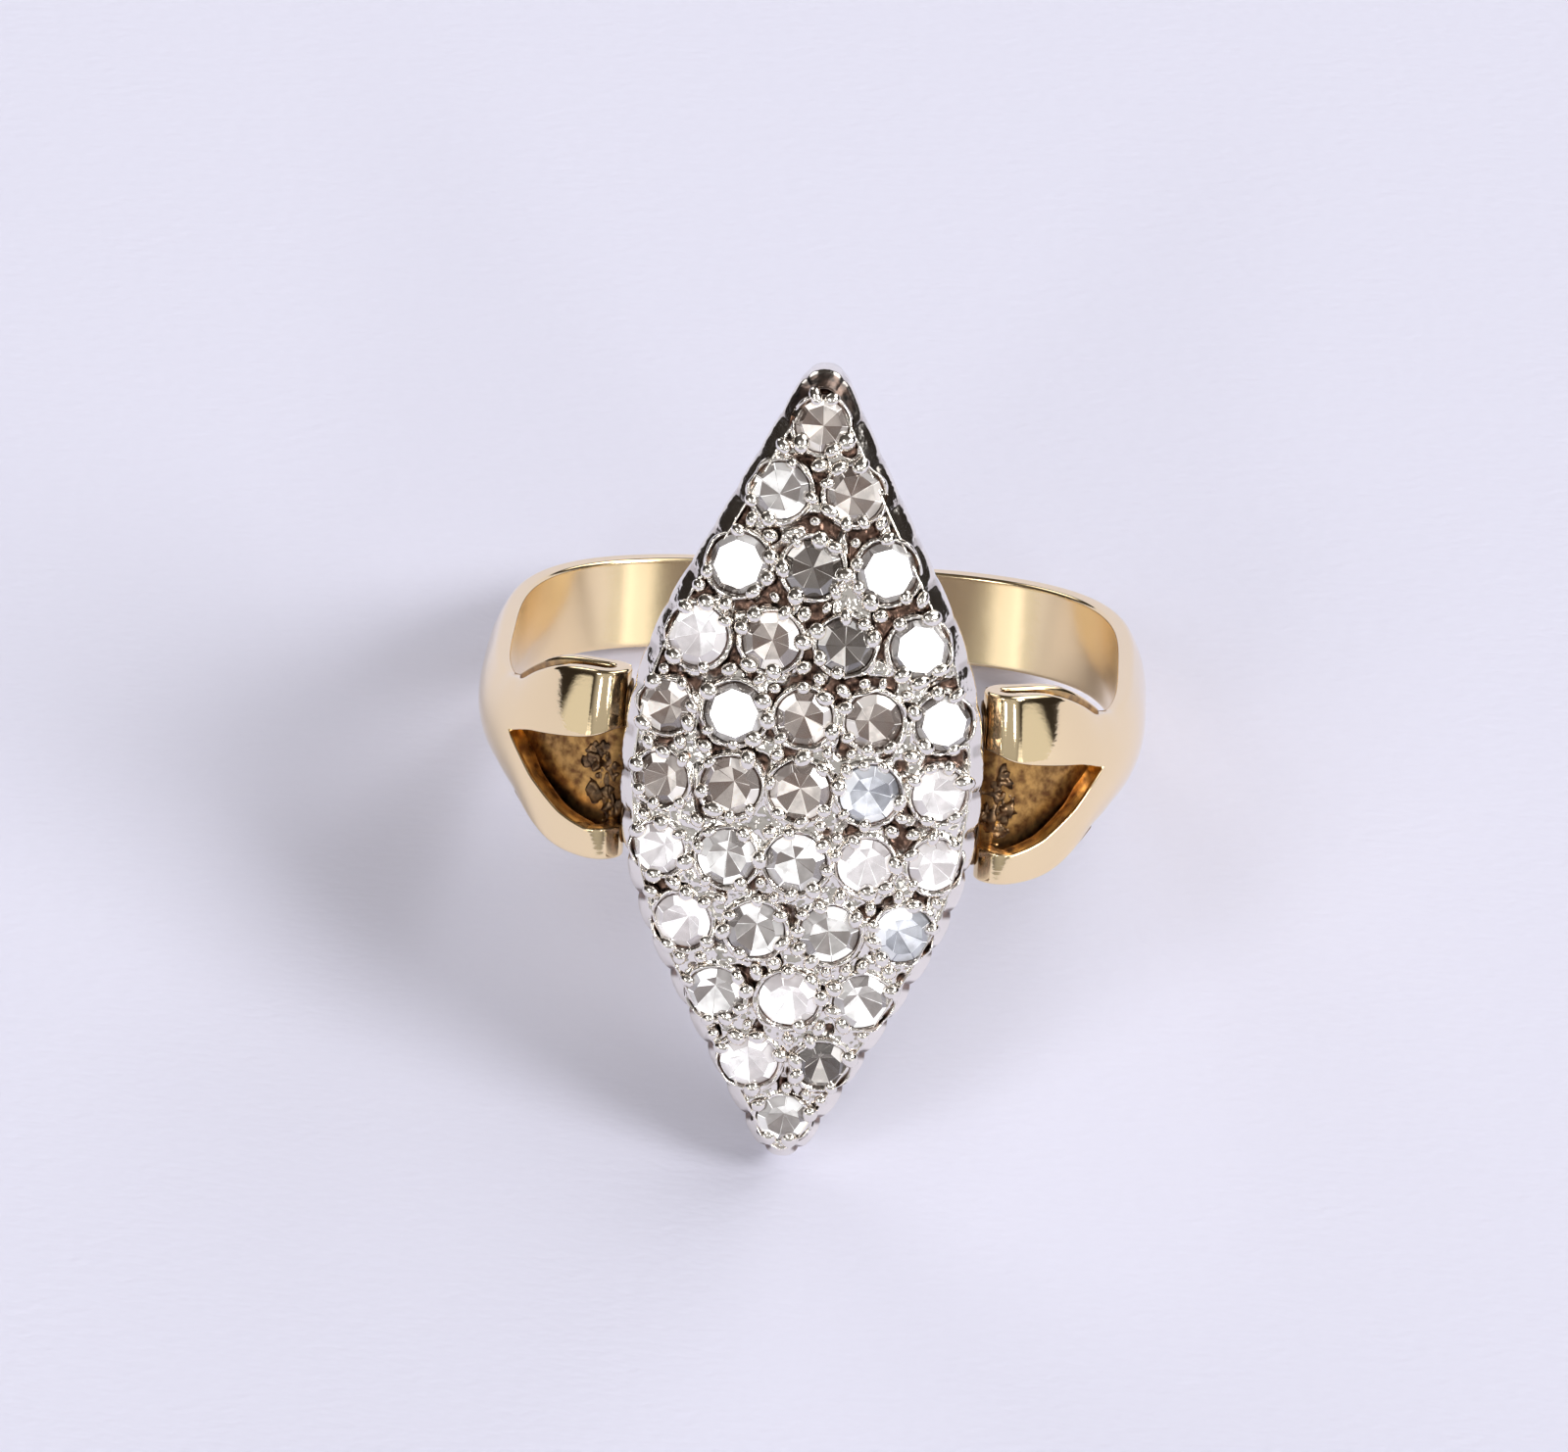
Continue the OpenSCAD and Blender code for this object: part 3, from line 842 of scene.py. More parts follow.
    def inner(self) -> Array:
        """Points x, z of the inner side at every station.

        It is the finger hole around the back. Past the crotch of a shoulder it is the strip's own
        underside, a rounded square that lies the strip's thickness below the outside and that eases
        into a smaller circle within the round end.
        """
        s = self.sizes
        under = np.stack(squarish(self.angle, s.hole_x + s.lining_t, s.front_z - s.shoulder_crown - s.strip_t,
                                  s.shoulder_square), -1)
        split = smoothstep(self.crotch - 12, self.crotch - 2, self.angle)[:, None]
        hole = np.stack(self.hole(self.angle), -1)
        last = self.noses[1]
        turned = np.radians(last.angle_out + (last.angle_in + 6 - last.angle_out) * self.turn)
        r = last.r - s.strip_t
        around = np.stack([last.x + r * np.cos(turned), last.z + r * np.sin(turned)], -1)
        start = np.array([last.x + r * math.cos(math.radians(last.angle_out)),
                          last.z + r * math.sin(math.radians(last.angle_out))])
        ease = smoothstep(self.angle[-1] - 9, self.angle[-1], self.angle)[:, None]
        along = hole * (1 - split) + (under + (start - under[-1]) * ease) * split
        return np.concatenate([along, around])

    def leaf_edges(self, x: Array) -> tuple[Array, Array]:
        """Upper and lower edge of the pierced leaf at a distance across the finger."""
        s = self.sizes
        start = s.side_x - s.leaf_inset
        way = (start - x) / (start - (s.arm_end + s.weld_in - s.solder_gap - self.noses[0].r))
        open_ = way > 0
        top = s.leaf_point + np.where(open_, (s.leaf_top - s.leaf_point) * self.LEAF_TOP(way), 0)
        low = s.leaf_point + np.where(open_, (-s.leaf_low - s.leaf_point) * self.LEAF_LOW(way), 0)
        return np.maximum(top, s.leaf_point), np.minimum(low, s.leaf_point)

    def half_strip(self, side: int) -> Shell:
        """The upper or lower half of the band, from shoulder to shoulder.

        At each station its section is a rounded rectangle between the pierced leaf, or the band's
        middle line where there is none, and the band's edge. The sections of the right half are
        mirrored for the left one. Faces on the middle line are left out, so that both halves weld.

        Args:
            side: 1 for the upper half, −1 for the lower.

        Returns:
            The shell.
        """
        middle = self.outer(np.zeros((len(self.angle) + len(self.turn), 1)))[:, 0]
        edge = np.abs(self.outer(np.ones((len(middle), 1)))[:, 0, 1])
        forward = np.arange(len(middle)) < len(self.angle)
        top, low = self.leaf_edges(np.where(forward | (middle[:, 2] > 6), middle[:, 0], 0))
        solid = (self.angle < 0).tolist() + [False] * len(self.turn)
        inside = np.where(solid, self.sizes.leaf_point, top if side > 0 else low)
        inner = self.inner()
        depth = np.linalg.norm(self.outer(np.ones((len(middle), 1)))[:, 0][:, [0, 2]] - inner, axis=-1)
        width = np.abs(side * edge - inside)
        gap = np.abs(inside - self.sizes.leaf_point)
        edge_r = np.minimum(self.edge_r, np.minimum(depth, width) * 0.4)
        leaf_r = np.minimum(self.leaf_r, gap * 0.5)
        way, share = self.section(edge_r / width, leaf_r / width, edge_r / depth, leaf_r / depth)
        y = inside[:, None] + (side * edge - inside)[:, None] * way
        outer = self.outer(y / edge[:, None])
        points = outer + (np.stack([inner[:, 0], inner[:, 0] * 0, inner[:, 1]], -1)[:, None] - outer) * (
            share[..., None] * [1, 0, 1])
        around = np.concatenate([self.angle, np.full(len(self.turn), 90.0)])
        hollow = smoothstep(self.crotch - 2, self.crotch + 4, around)
        open_leaf = smoothstep(0.0, 0.5, gap)
        on_leaf = (way < 0.5 * leaf_r[:, None] / width[:, None]) * open_leaf[:, None]
        inside_face = smoothstep(0.93, 1.0, share) * smoothstep(1.0, 0.97, way)
        satin = inside_face * (1 - hollow[:, None])
        tarnish_and_shade = np.maximum(inside_face * hollow[:, None], on_leaf * smoothstep(0.05, 0.7, share)) - satin
        columns = points.shape[1]
        left = points[:0:-1] * [-1, 1, 1]
        both = np.concatenate([left, points])
        quads = grid_faces(len(both), columns, True)
        flat = np.concatenate([gap[:0:-1], gap]) < 1e-6
        row, column = quads[:, 0] // columns, quads[:, 0] % columns
        mid_side = column >= columns - self.LEAF_SIDE
        keep = ~(mid_side & flat[row] & flat[np.minimum(row + 1, len(flat) - 1)])
        return Shell(both, quads[keep], np.concatenate([tarnish_and_shade[:0:-1], tarnish_and_shade]))

    def section(self, edge_y: Array, leaf_y: Array, edge_d: Array, leaf_d: Array) -> tuple[Array, Array]:
        """A rounded rectangle at each station, as shares of the width and of the depth.

        It runs along the outside to the band's edge, around to the inner side, back to the leaf,
        and up the leaf's wall. Each corner is a quarter of an ellipse.

        Args:
            edge_y: the edge's rounding as a share of the width.
            leaf_y: the leaf's rounding as a share of the width.
            edge_d: the edge's rounding as a share of the depth.
            leaf_d: the leaf's rounding as a share of the depth.

        Returns:
            Shares of the width from the leaf to the edge, and of the depth from outside to inside.
        """
        ey, ly, ed, ld = (v[:, None] for v in (edge_y, leaf_y, edge_d, leaf_d))
        flat = np.linspace(0, 1, self.FLAT)[None, :]
        corner = np.radians(np.linspace(0, 90, self.ROUND + 2))[None, 1:-1]
        wall = np.linspace(0, 1, self.WALL)[None, :]
        pieces = [
            (ly + (1 - ey - ly) * flat, 0 * flat * ey),
            (1 - ey + ey * np.sin(corner), ed - ed * np.cos(corner)),
            (1 + 0 * wall * ey, ed + (1 - 2 * ed) * wall),
            (1 - ey + ey * np.cos(corner), 1 - ed + ed * np.sin(corner)),
            (1 - ey - (1 - ey - ly) * flat, 1 + 0 * flat * ey),
            (ly - ly * np.sin(corner), 1 - ld + ld * np.cos(corner)),
            (0 * wall * ey, 1 - ld - (1 - 2 * ld) * wall),
            (ly - ly * np.cos(corner), ld - ld * np.sin(corner)),
        ]
        return np.concatenate([p[0] for p in pieces], 1), np.concatenate([p[1] for p in pieces], 1)

    def lining(self, side: int) -> Shell:
        """The strip under a shoulder's hollow, from inside the band to the round end.

        Its lower face is the finger hole and its upper face lies the lining's thickness above it,
        and at the end both turn up around the shoulder's circle, a hair inside the strips.

        Args:
            side: 1 for the right shoulder, −1 for the left.

        Returns:
            The shell, closed at both ends.
        """
        s, last = self.sizes, self.noses[1]
        angle = np.linspace(self.crotch - 10.5, last.at_in, 70)
        hole = np.stack(self.hole(angle), -1)
        tangent = np.gradient(hole, axis=0)
        tangent /= np.linalg.norm(tangent, axis=-1, keepdims=True)
        above = hole + np.stack([tangent[:, 1], -tangent[:, 0]], -1) * s.lining_t
        turned = np.radians(np.linspace(last.angle_in, 196, 26)[1:])
        ring = np.stack([np.cos(turned), np.sin(turned)], -1)
        r = last.r - 0.01 * smoothstep(0, 4, np.arange(len(turned)))[:, None]
        thick = s.lining_t * np.sqrt(np.clip(1 - np.linspace(0, 0.995, len(turned)) ** 6, 0, 1))[:, None]
        centre = np.array([last.x, last.z])
        under = np.concatenate([hole, centre + ring * r])
        over = np.concatenate([above, centre + ring * (r - thick)])
        edge = self.outside(angle, np.ones_like(angle))[1]
        edge = np.concatenate([edge, np.full(len(turned), self.end_half)])
        edge = np.minimum(np.maximum.accumulate(edge), self.end_half) - 0.004
        depth = np.linalg.norm(over - under, axis=-1)
        r_edge = np.minimum(self.edge_r, depth * 0.4)
        way, share = self.section(r_edge / (2 * edge), r_edge / (2 * edge), r_edge / depth, r_edge / depth)
        y = edge[:, None] * (2 * way - 1)
        flat = under[:, None] + (over - under)[:, None] * (1 - share[..., None])
        points = np.stack([flat[..., 0] * side, y, flat[..., 1]], -1)
        columns = points.shape[1]
        quads = grid_faces(len(points), columns, True)
        tarnish_and_shade = smoothstep(0.06, 0.0, share) * smoothstep(0.0, 0.03, way) * smoothstep(1.0, 0.97, way)
        caps = self.caps(len(points), columns)
        return Shell(points, np.concatenate([quads, caps]), tarnish_and_shade)

    @staticmethod
    def caps(rows: int, columns: int) -> Array:
        """Quads that close the first and last section of a tube."""
        first = zipped(np.arange(columns))
        return np.concatenate([first, first + (rows - 1) * columns])

    def set_low(self, shell: Shell) -> Shell:
        """Moves the shoulders a little along the finger, as they are soldered on the worn ring."""
        drop = self.shoulder_drop * smoothstep(-4, 8, shell.points[:, 2])
        return Shell(shell.points - drop[:, None] * [0, 1, 0], shell.quads, shell.tarnish_and_shade)

    def seam(self, side: int, head: "Outline", rows: int = 60, columns: int = 28) -> Shell:
        """The solder between a shoulder's end and the head's wall.

        Along the finger its section is a rounded square from inside the wall to inside the
        shoulder's end, which shrinks to nothing at both ends and is roughened by noise.

        Args:
            side: 1 for the right shoulder, −1 for the left.
            head: the head's outline.
            rows: sections along the finger.
            columns: corners around a section.

        Returns:
            The shell.
        """
        along = np.linspace(-1, 1, rows)[:, None]
        around = np.linspace(0, 360, columns, endpoint=False)[None, :]
        y = along * (self.end_half - 0.35)
        wall_x, wall_y, _ = head.quarter(400)
        wall = np.interp(np.abs(y - self.shoulder_drop), wall_y, wall_x) - 0.06
        end = self.sizes.arm_end + 0.1
        size = np.clip(1 - along ** 8, 0, 1) ** 0.5
        x, z = squarish(around, size * (end - wall) / 2, size * 0.52, 3.0)
        points = np.stack([x + (end + wall) / 2, y + 0 * x, z + self.noses[0].z - 0.12], -1)
        points += (0.05 * value_noise(points, 0.3, 31 + side) * size)[..., None]
        return Shell(points * [side, 1, 1], grid_faces(rows, columns, True), 0.9)

    def lumps(self, side: int, count: int = 16, rows: int = 20, columns: int = 30) -> Shell:
        """Rough lumps of solder on the lining beside the head, as balls moved in and out by noise.

        A lump is kept above the finger hole's side of the lining.

        Args:
            side: 1 for the right shoulder, −1 for the left.
            count: how many lumps.
            rows: rings of a ball from pole to pole.
            columns: corners around it.

        Returns:
            The shells as one.
        """
        random = np.random.default_rng(SEED + 7 + side)
        rise = np.radians(np.linspace(-90, 90, rows))[:, None]
        turn = np.radians(np.linspace(0, 360, columns, endpoint=False))[None, :]
        level = np.cos(rise)
        ball = np.stack([level * np.cos(turn), level * np.sin(turn), np.sin(rise) + 0 * turn], -1)
        quads = grid_faces(rows, columns, True)
        hole_x, hole_z = self.hole(np.linspace(90, 20, 200))
        shells = []
        for _ in range(count):
            x, y, size = random.uniform(self.LUMPS_FROM, self.LUMPS_TO)
            centre = np.array([x, y, self.noses[0].z - 0.42 - 0.3 * (x - self.LUMPS_FROM[0])])
            rough = 1 + 0.5 * value_noise(ball * size + centre, 0.12, 40 + side)
            stretch = random.uniform([0.9, 1.0, 0.6], [1.2, 1.5, 0.9])
            points = centre + ball * rough[..., None] * size * stretch
            least = np.interp(points[..., 0], hole_x, hole_z) + 0.12
            points[..., 2] = np.maximum(points[..., 2], least)
            shells.append(Shell(points * [side, 1, 1], quads, 0.95))
        return Shell.joined(shells)

    def solder(self, head: "Outline") -> bpy.types.Object:
        """All the solder as one rough piece that belongs to the shank."""
        parts = []
        for side in (1, -1):
            parts += [self.seam(side, head), self.lumps(side)]
        solder = self.set_low(Shell.joined(parts))
        piece = make_piece("shank_solder", solder, SOLDER.build(), weld=0.002, outward=True)
        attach(piece, "root")
        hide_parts("shank")
        return piece

    def build(self) -> bpy.types.Object:
        """The band as one piece that stands for the shank."""
        halves = []
        for side in (1, -1):
            half = self.half_strip(side)
            caps = self.caps(len(half.points) // self.SECTION, self.SECTION)
            halves.append(Shell(half.points, np.concatenate([half.quads, caps]), half.tarnish_and_shade))
        band = self.set_low(Shell.joined(halves + [self.lining(1), self.lining(-1)]))
        piece = make_piece("shank_band", band, YELLOW_GOLD.build(), weld=0.0004, outward=True)
        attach(piece, "root")
        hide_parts("shank")
        return piece


@dataclass(frozen=True)
class Outline:
    """A quarter of the head's outline: a round side, a straight end and a round tip."""

    half_w: float
    reach: float
    tip: float
    angle: float

    @property
    def side_r(self) -> float:
        """Radius of the round side."""
        return (self.reach - self.half_w * math.cos(self.angle)) / (1 - math.cos(self.angle))

    def inset(self, by: float) -> "Outline":
        """The outline drawn in by a distance all around."""
        return Outline(self.half_w - by, self.reach - by, self.tip - by, self.angle)

    @property
    def lengths(self) -> tuple[float, float, float]:
        """Lengths of the side, the straight end and the tip."""
        straight = (self.reach - self.tip) / math.tan(self.angle)
        straight -= (self.side_r - self.half_w) * math.sin(self.angle)
        return self.side_r * self.angle, straight, self.tip * (math.pi / 2 - self.angle)

    def quarter(self, count: int) -> tuple[Array, Array, Array]:
        """Evenly spaced points from the widest place to the tip.

        Args:
            count: how many points.

        Returns:
            x, y and the outward angle in radians.
        """
        side, straight, tip = self.lengths
        s = np.linspace(0, side + straight + tip, count)
        a = np.clip(s, 0, side) / self.side_r
        more = np.clip(s - side, 0, straight)
        turned = np.clip(s - side - straight, 0, None) / self.tip + self.angle
        tip_y = (self.reach - self.tip) / math.sin(self.angle)
        x = self.half_w - self.side_r + self.side_r * np.cos(a) - more * math.sin(self.angle)
        y = self.side_r * np.sin(a) + more * math.cos(self.angle)
        at_tip = s > side + straight
        x = np.where(at_tip, self.tip * np.cos(turned), x)
        y = np.where(at_tip, tip_y + self.tip * np.sin(turned), y)
        return x, y, np.where(at_tip, turned, a)

    def loop(self, count: int) -> tuple[Array, Array, Array, Array]:
        """The whole outline, once around.

        Args:
            count: how many points in a quarter.

        Returns:
            x, y, the outward angle, and the share of the way from the widest place to the tip.
        """
        x, y, a = self.quarter(count)
        share = np.linspace(0, 1, count)
        parts = [
            (x, y, a, share),
            (-x[-2::-1], y[-2::-1], math.pi - a[-2::-1], share[-2::-1]),
            (-x[1:], -y[1:], math.pi + a[1:], share[1:]),
            (x[-2:0:-1], -y[-2:0:-1], 2 * math.pi - a[-2:0:-1], share[-2:0:-1]),
        ]
        return tuple(np.concatenate([p[i] for p in parts]) for i in range(4))


class Dome:
    """The head's domed surface, which the stones are set in."""

    def __init__(self, sizes: RingSizes) -> None:
        """Keeps the sizes and works out every stone's place.

        Args:
            sizes: the ring's sizes.
        """
        self.sizes = sizes
        counts = [1, 2, 3, 4, 5, 5, 5, 4, 3, 2, 1]
        full, middle = max(counts), (len(counts) - 1) / 2
        full_step = (sizes.head_w - 2 * sizes.rim_w - sizes.end_stone_d) / (full - 1)
        rows = []
        for row, (count, fullness) in enumerate(zip(counts, FULLNESS)):
            away = middle - row
            pull = math.copysign(sizes.point_pull, away) if abs(away) == middle else 0
            along = away * sizes.row_pitch - pull
            step = full_step if count == full else sizes.stone_pitch
            for k in range(count):
                end = count == full and k in (0, full - 1)
                d = sizes.end_stone_d if end else sizes.stone_d
                rows.append((along, (k - (count - 1) / 2) * step, d / 2 * fullness[k]))
        self.stones = np.array(rows)
        theta = self.stones[:, 0] / sizes.dome_l
        across = self.stones[:, 1]
        reach = sizes.dome_l - sizes.dome_w + np.sqrt(sizes.dome_w ** 2 - across ** 2)
        self.centres, self.normals = self.at(across, reach * np.sin(theta))

    def at(self, x: Array, y: Array) -> tuple[Array, Array]:
        """The dome above a place in plan.

        It is a circle across the head, turned about an axis far below it: the reach from the axis
        is the axis distance plus the circle's height, and the height is the root of the reach
        squared less y squared.

        Args:
            x: distance across the finger.
            y: distance along the finger.

        Returns:
            Points and outward normals.
        """
        s = self.sizes
        rise = np.sqrt(s.dome_w ** 2 - x ** 2)
        reach = s.dome_l - s.dome_w + rise
        height = np.sqrt(reach ** 2 - y ** 2)
        points = np.stack([x, y, s.dome_axis + height], -1)
        tilt = rise / s.dome_w
        normals = np.stack([x / s.dome_w, tilt * y / reach, tilt * height / reach], -1)
        return points, normals

    def beyond(self, points: Array) -> Array:
        """Distance of points on the dome beyond the nearest stone's edge, below 0 over a stone."""
        distance = np.full(points.shape[:-1], 9.0)
        for centre, (_, _, r) in zip(self.centres, self.stones):
            distance = np.minimum(distance, np.linalg.norm(points - centre, axis=-1) - r)
        return distance

    def local(self, index: int, x: Array, y: Array, height: Array) -> Array:
        """Points beside a stone's centre, lowered as the dome falls away.

        Args:
            index: the stone's number.
            x: distance across.
            y: distance along.
            height: height above the dome.

        Returns:
            The points.
        """
        across, along, normal = axes_about(self.normals[index])
        fall = x ** 2 / (2 * self.sizes.dome_w) + y ** 2 / (2 * self.sizes.dome_l)
        return (self.centres[index] + x[..., None] * across + y[..., None] * along
                + (height - fall)[..., None] * normal)


class Head:
    """The white navette head: its pierced plate, rim, collars and grains."""

    # Least and greatest radius of a grain, its height as a share of that, and the share kept
    GRAIN_BESIDE_STONE, GRAIN_IN_GAP = (0.2, 0.31), (0.16, 0.25)
    GRAIN_HEIGHT, GRAINS_KEPT = 0.8, 0.9

    def __init__(self, sizes: RingSizes, dome: Dome, rim: float = 0.44, pit: float = 0.2) -> None:
        """Keeps the sizes and the rim's outline.

        Args:
            sizes: the ring's sizes.
            dome: the domed surface.
            rim: width of the rim, measured inwards from the outline.
            pit: depth of the recesses between the stones.
        """
        self.sizes, self.dome = sizes, dome
        self.rim, self.pit = rim, pit
        self.outline = Outline(sizes.head_w / 2, sizes.end_reach, sizes.point_r, sizes.end_angle)
        self.random = np.random.default_rng(SEED)
        self.metal = WHITE_GOLD.build()

    def dress(self, piece: bpy.types.Object) -> bpy.types.Object:
        """Rides a piece on the body as part of the head."""
        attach(piece, "root")
        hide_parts("head")
        return piece

    def plate(self, rows: int = 610, columns: int = 270) -> bpy.types.Object:
        """The pierced plate between the stones.

        A grid fills the outline inside the rim: rows crowd at the tips, and each row reaches from
        edge to edge. Corners are lifted off the dome by a height that falls in the recesses, where
        no stone or rim is near, and at the stones' own holes, and that waves a little.

        Args:
            rows: corners along the head.
            columns: corners across it.

        Returns:
            The piece.
        """
        edge_x, edge_y, edge_a = self.outline.inset(self.rim - 0.06).quarter(800)
        p = np.linspace(-1, 1, rows)
        y = (edge_y[-1] * (1.5 * p - 0.5 * p ** 3))[:, None]
        half = np.interp(np.abs(y), edge_y, edge_x)
        slope = np.interp(np.abs(y), edge_y, edge_a)
        x = np.linspace(-1, 1, columns)[None, :] * half
        y = np.broadcast_to(y, x.shape)
        points, normals = self.dome.at(x, y)
        near = self.dome.beyond(points)
        rim = np.minimum((half - np.abs(x)) * np.cos(slope), edge_y[-1] - np.abs(y))
        ragged = 0.035 * value_noise(points, 0.35, 3)
        recess = smoothstep(0.13, 0.21, near + ragged) * smoothstep(0.03, 0.1, rim + ragged)
        sparse = 0.1 - 0.4 * smoothstep(-2.0, 4.0, y)
        patchy = smoothstep(sparse, sparse + 0.35, value_noise(points, 0.42, 9))
        height = -self.pit * recess * (0.35 + 0.65 * patchy)
        height -= 0.16 * smoothstep(0.03, -0.03, near)
        height += 0.035 * value_noise(points, 0.3, 5) + 0.028 * value_noise(points, 0.13, 6)
        points = points + normals * height[..., None]
        quads = grid_faces(rows, columns)
        quads = quads[near.reshape(-1)[quads].max(1) > -0.05]
        # Patina in the recesses; painted shade as a dark ring at each stone's seat and over the head's upper
        # tip
        tarnish_and_shade = recess * patchy + smoothstep(0.035, 0.0, near) + 0.9 * smoothstep(10.8, 11.2, y)
        shell = Shell(points, quads, np.clip(tarnish_and_shade, 0, 1)).trimmed()
        return self.dress(make_piece("head_plate", shell, self.metal))

    def rim_strip(self, count: int = 520) -> bpy.types.Object:
        """The rim and side wall, carried around the outline.

        The profile is a low lip, a bevel that rounds over into the wall, and a wall that leans in
        as it goes down. Between lobes it is drawn in by a notch that dies out towards the lip, and
        each lobe swells a little upwards.

        Args:
            count: stations in a quarter.

        Returns:
            The piece.
        """
        s = self.sizes
        x, y, a, share = self.outline.loop(count)
        total = sum(self.outline.lengths)
        lobes = round(total / s.scallop - 0.5) + 0.5
        lobe = np.abs(np.sin(math.pi * share * lobes))
        sharp = (1 - lobe) ** 1.6 * np.where(y > 0, smoothstep(0.99, 0.94, share), 1)
        profile = np.array([
            (-0.5, -0.22, 0), (-0.47, -0.06, 0), (-0.45, 0.0, 0), (-0.43, 0.02, 0), (-0.4, 0.012, 0.05),
            (-0.37, -0.01, 0.2), (-0.3, -0.075, 0.5), (-0.23, -0.145, 0.8), (-0.16, -0.22, 1),
            (-0.1, -0.29, 1), (-0.05, -0.355, 1), (-0.022, -0.4, 1), (-0.008, -0.44, 1), (-0.001, -0.5, 1),
            (-0.004, -0.75, 1), (-0.02, -1.0, 0.9), (-0.06, -1.4, 0.8), (-0.11, -1.85, 0.7),
            (-0.13, -1.95, 0.7), (-0.17, -1.99, 0.6), (-0.3, -2.0, 0.2), (-0.62, -2.0, 0),
        ])
        out, down, cut = (profile[:, i][None, :] for i in range(3))
        low_half = smoothstep(1.5, -2.5, y)[:, None]
        offset = out - (0.06 + 0.09 * low_half) * sharp[:, None] * cut
        px = x[:, None] + offset * np.cos(a)[:, None]
        py = y[:, None] + offset * np.sin(a)[:, None]
        points, normals = self.dome.at(px, py)
        swell = np.interp(out, [-0.4, -0.25, -0.05, 0.0], [0, 1, 0.6, 0])
        lift = (0.006 + 0.04 * low_half) * (lobe[:, None] - 0.6) * swell * (down > -0.52)
        height = down + lift - (0.01 + 0.04 * low_half) * sharp[:, None] * (cut > 0.2) * (down > -0.5)
        points = points + height[..., None] * [0, 0, 1]
        points += normals * (0.006 * value_noise(points, 0.3, 8))[..., None]
        quads = grid_faces(*points.shape[:2], looped=True)
        # Darker in the notches between lobes, most on the lower half, and at the lip's inner foot and the
        # wall's underside
        tarnish_and_shade = (0.3 + 0.6 * low_half) * smoothstep(0.25, 0.6, sharp)[:, None]
        tarnish_and_shade = tarnish_and_shade * smoothstep(0.3, 0.8, cut) * (down > -1.2)
        tarnish_and_shade = np.maximum(tarnish_and_shade, smoothstep(-0.05, -0.15, down) * (out < -0.46))
        # Painted shade on the lower wall beside the shoulders
        beside = smoothstep(3.7, 2.9, np.abs(points[..., 1])) * smoothstep(-0.5, -0.75, down)
        # Painted shade over the rim at the head's upper tip
        tip = smoothstep(10.8, 11.2, points[..., 1]) * (down > -0.3)
        tarnish_and_shade = np.maximum(np.maximum(tarnish_and_shade, 0.85 * beside), 0.9 * tip)
        shell = Shell(points, quads, tarnish_and_shade)
        return self.dress(make_piece("head_rim", shell, self.metal, outward=True))

    def under(self) -> bpy.types.Object:
        """The plate's underside, light holes, seats and inner walls, copied from the solid.

        The solid's faces on the dome, on the outer wall and along the wall's foot are left out,
        because the plate and the rim take their place.
        """
        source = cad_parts["head"].data
        corners = np.zeros(len(source.vertices) * 3)
        source.vertices.foreach_get("co", corners)
        corners = LAID.upright(corners.reshape(-1, 3))
        faces = np.zeros(len(source.loops), int)
        source.loops.foreach_get("vertex_index", faces)
        faces = faces.reshape(-1, 3)
        middle = corners[faces].mean(1)
        first, second, third = (corners[faces[:, i]] for i in range(3))
        normal = np.cross(second - first, third - first)
        normal /= np.linalg.norm(normal, axis=1, keepdims=True) + 1e-12
        on_dome, out = self.dome.at(np.clip(middle[:, 0], -8, 8), middle[:, 1])
        depth = on_dome[:, 2] - middle[:, 2]
        facing = (normal * out).sum(1)
        edge_x, edge_y, _ = self.outline.quarter(800)
        inside = np.interp(np.abs(middle[:, 1]), edge_y, edge_x) - np.abs(middle[:, 0])
        top = (depth < 0.06) & (facing > 0.6)
        wall = (inside < 0.3) & (np.abs(normal[:, 2]) < 0.5)
        foot = (facing < -0.6) & (depth > self.sizes.head_d - 0.25)
        above, _ = self.dome.at(np.clip(corners[:, 0], -8, 8), corners[:, 1])
        # Painted shade: the copied underside, holes, seats and inner walls are all darkened, fully within 0.9
        # mm of the dome
        tarnish_and_shade = np.maximum(smoothstep(1.05, 0.9, above[:, 2] - corners[:, 2]), 0.7)
        shell = Shell(corners, faces[~(top | wall | foot)], tarnish_and_shade).trimmed()
        return self.dress(make_piece("head_under", shell, self.metal, weld=0.002, crease=32.0))

    def collars(self, around: int = 72) -> bpy.types.Object:
        """A thin bright ring of metal around each stone, a little uneven as if cut by hand.

        The profile rises from inside the seat to a crest and falls away outwards; its radius and
        its crest wave with the angle by a few seeded sine terms.

        Args:
            around: corners around a stone.

        Returns:
            The piece.
        """
        angle = np.linspace(0, 2 * math.pi, around, endpoint=False)[:, None]
        profile = np.array([
            (0.02, -0.2), (0.028, -0.07), (0.038, 0.0), (0.055, 0.03), (0.08, 0.035), (0.11, 0.015),
            (0.135, -0.03), (0.15, -0.11),
        ])
        quads = grid_faces(around, len(profile), looped=True)
        shells = []
        for index, (_, _, r) in enumerate(self.dome.stones):
            wave = sum(self.random.normal(0, 0.014) * np.sin(n * angle + self.random.uniform(0, 6.28))
                       for n in range(2, 8))
            crest = sum(self.random.normal(0, 0.028) * np.sin(n * angle + self.random.uniform(0, 6.28))
                        for n in range(2, 9))
            out = profile[None, :, 0] + np.where(profile[None, :, 0] > 0.04, wave, 0)
            high = profile[None, :, 1] + np.where(profile[None, :, 1] > -0.05, crest, 0)
            reach = r + out
            points = self.dome.local(index, reach * np.cos(angle), reach * np.sin(angle), high + 0 * angle)
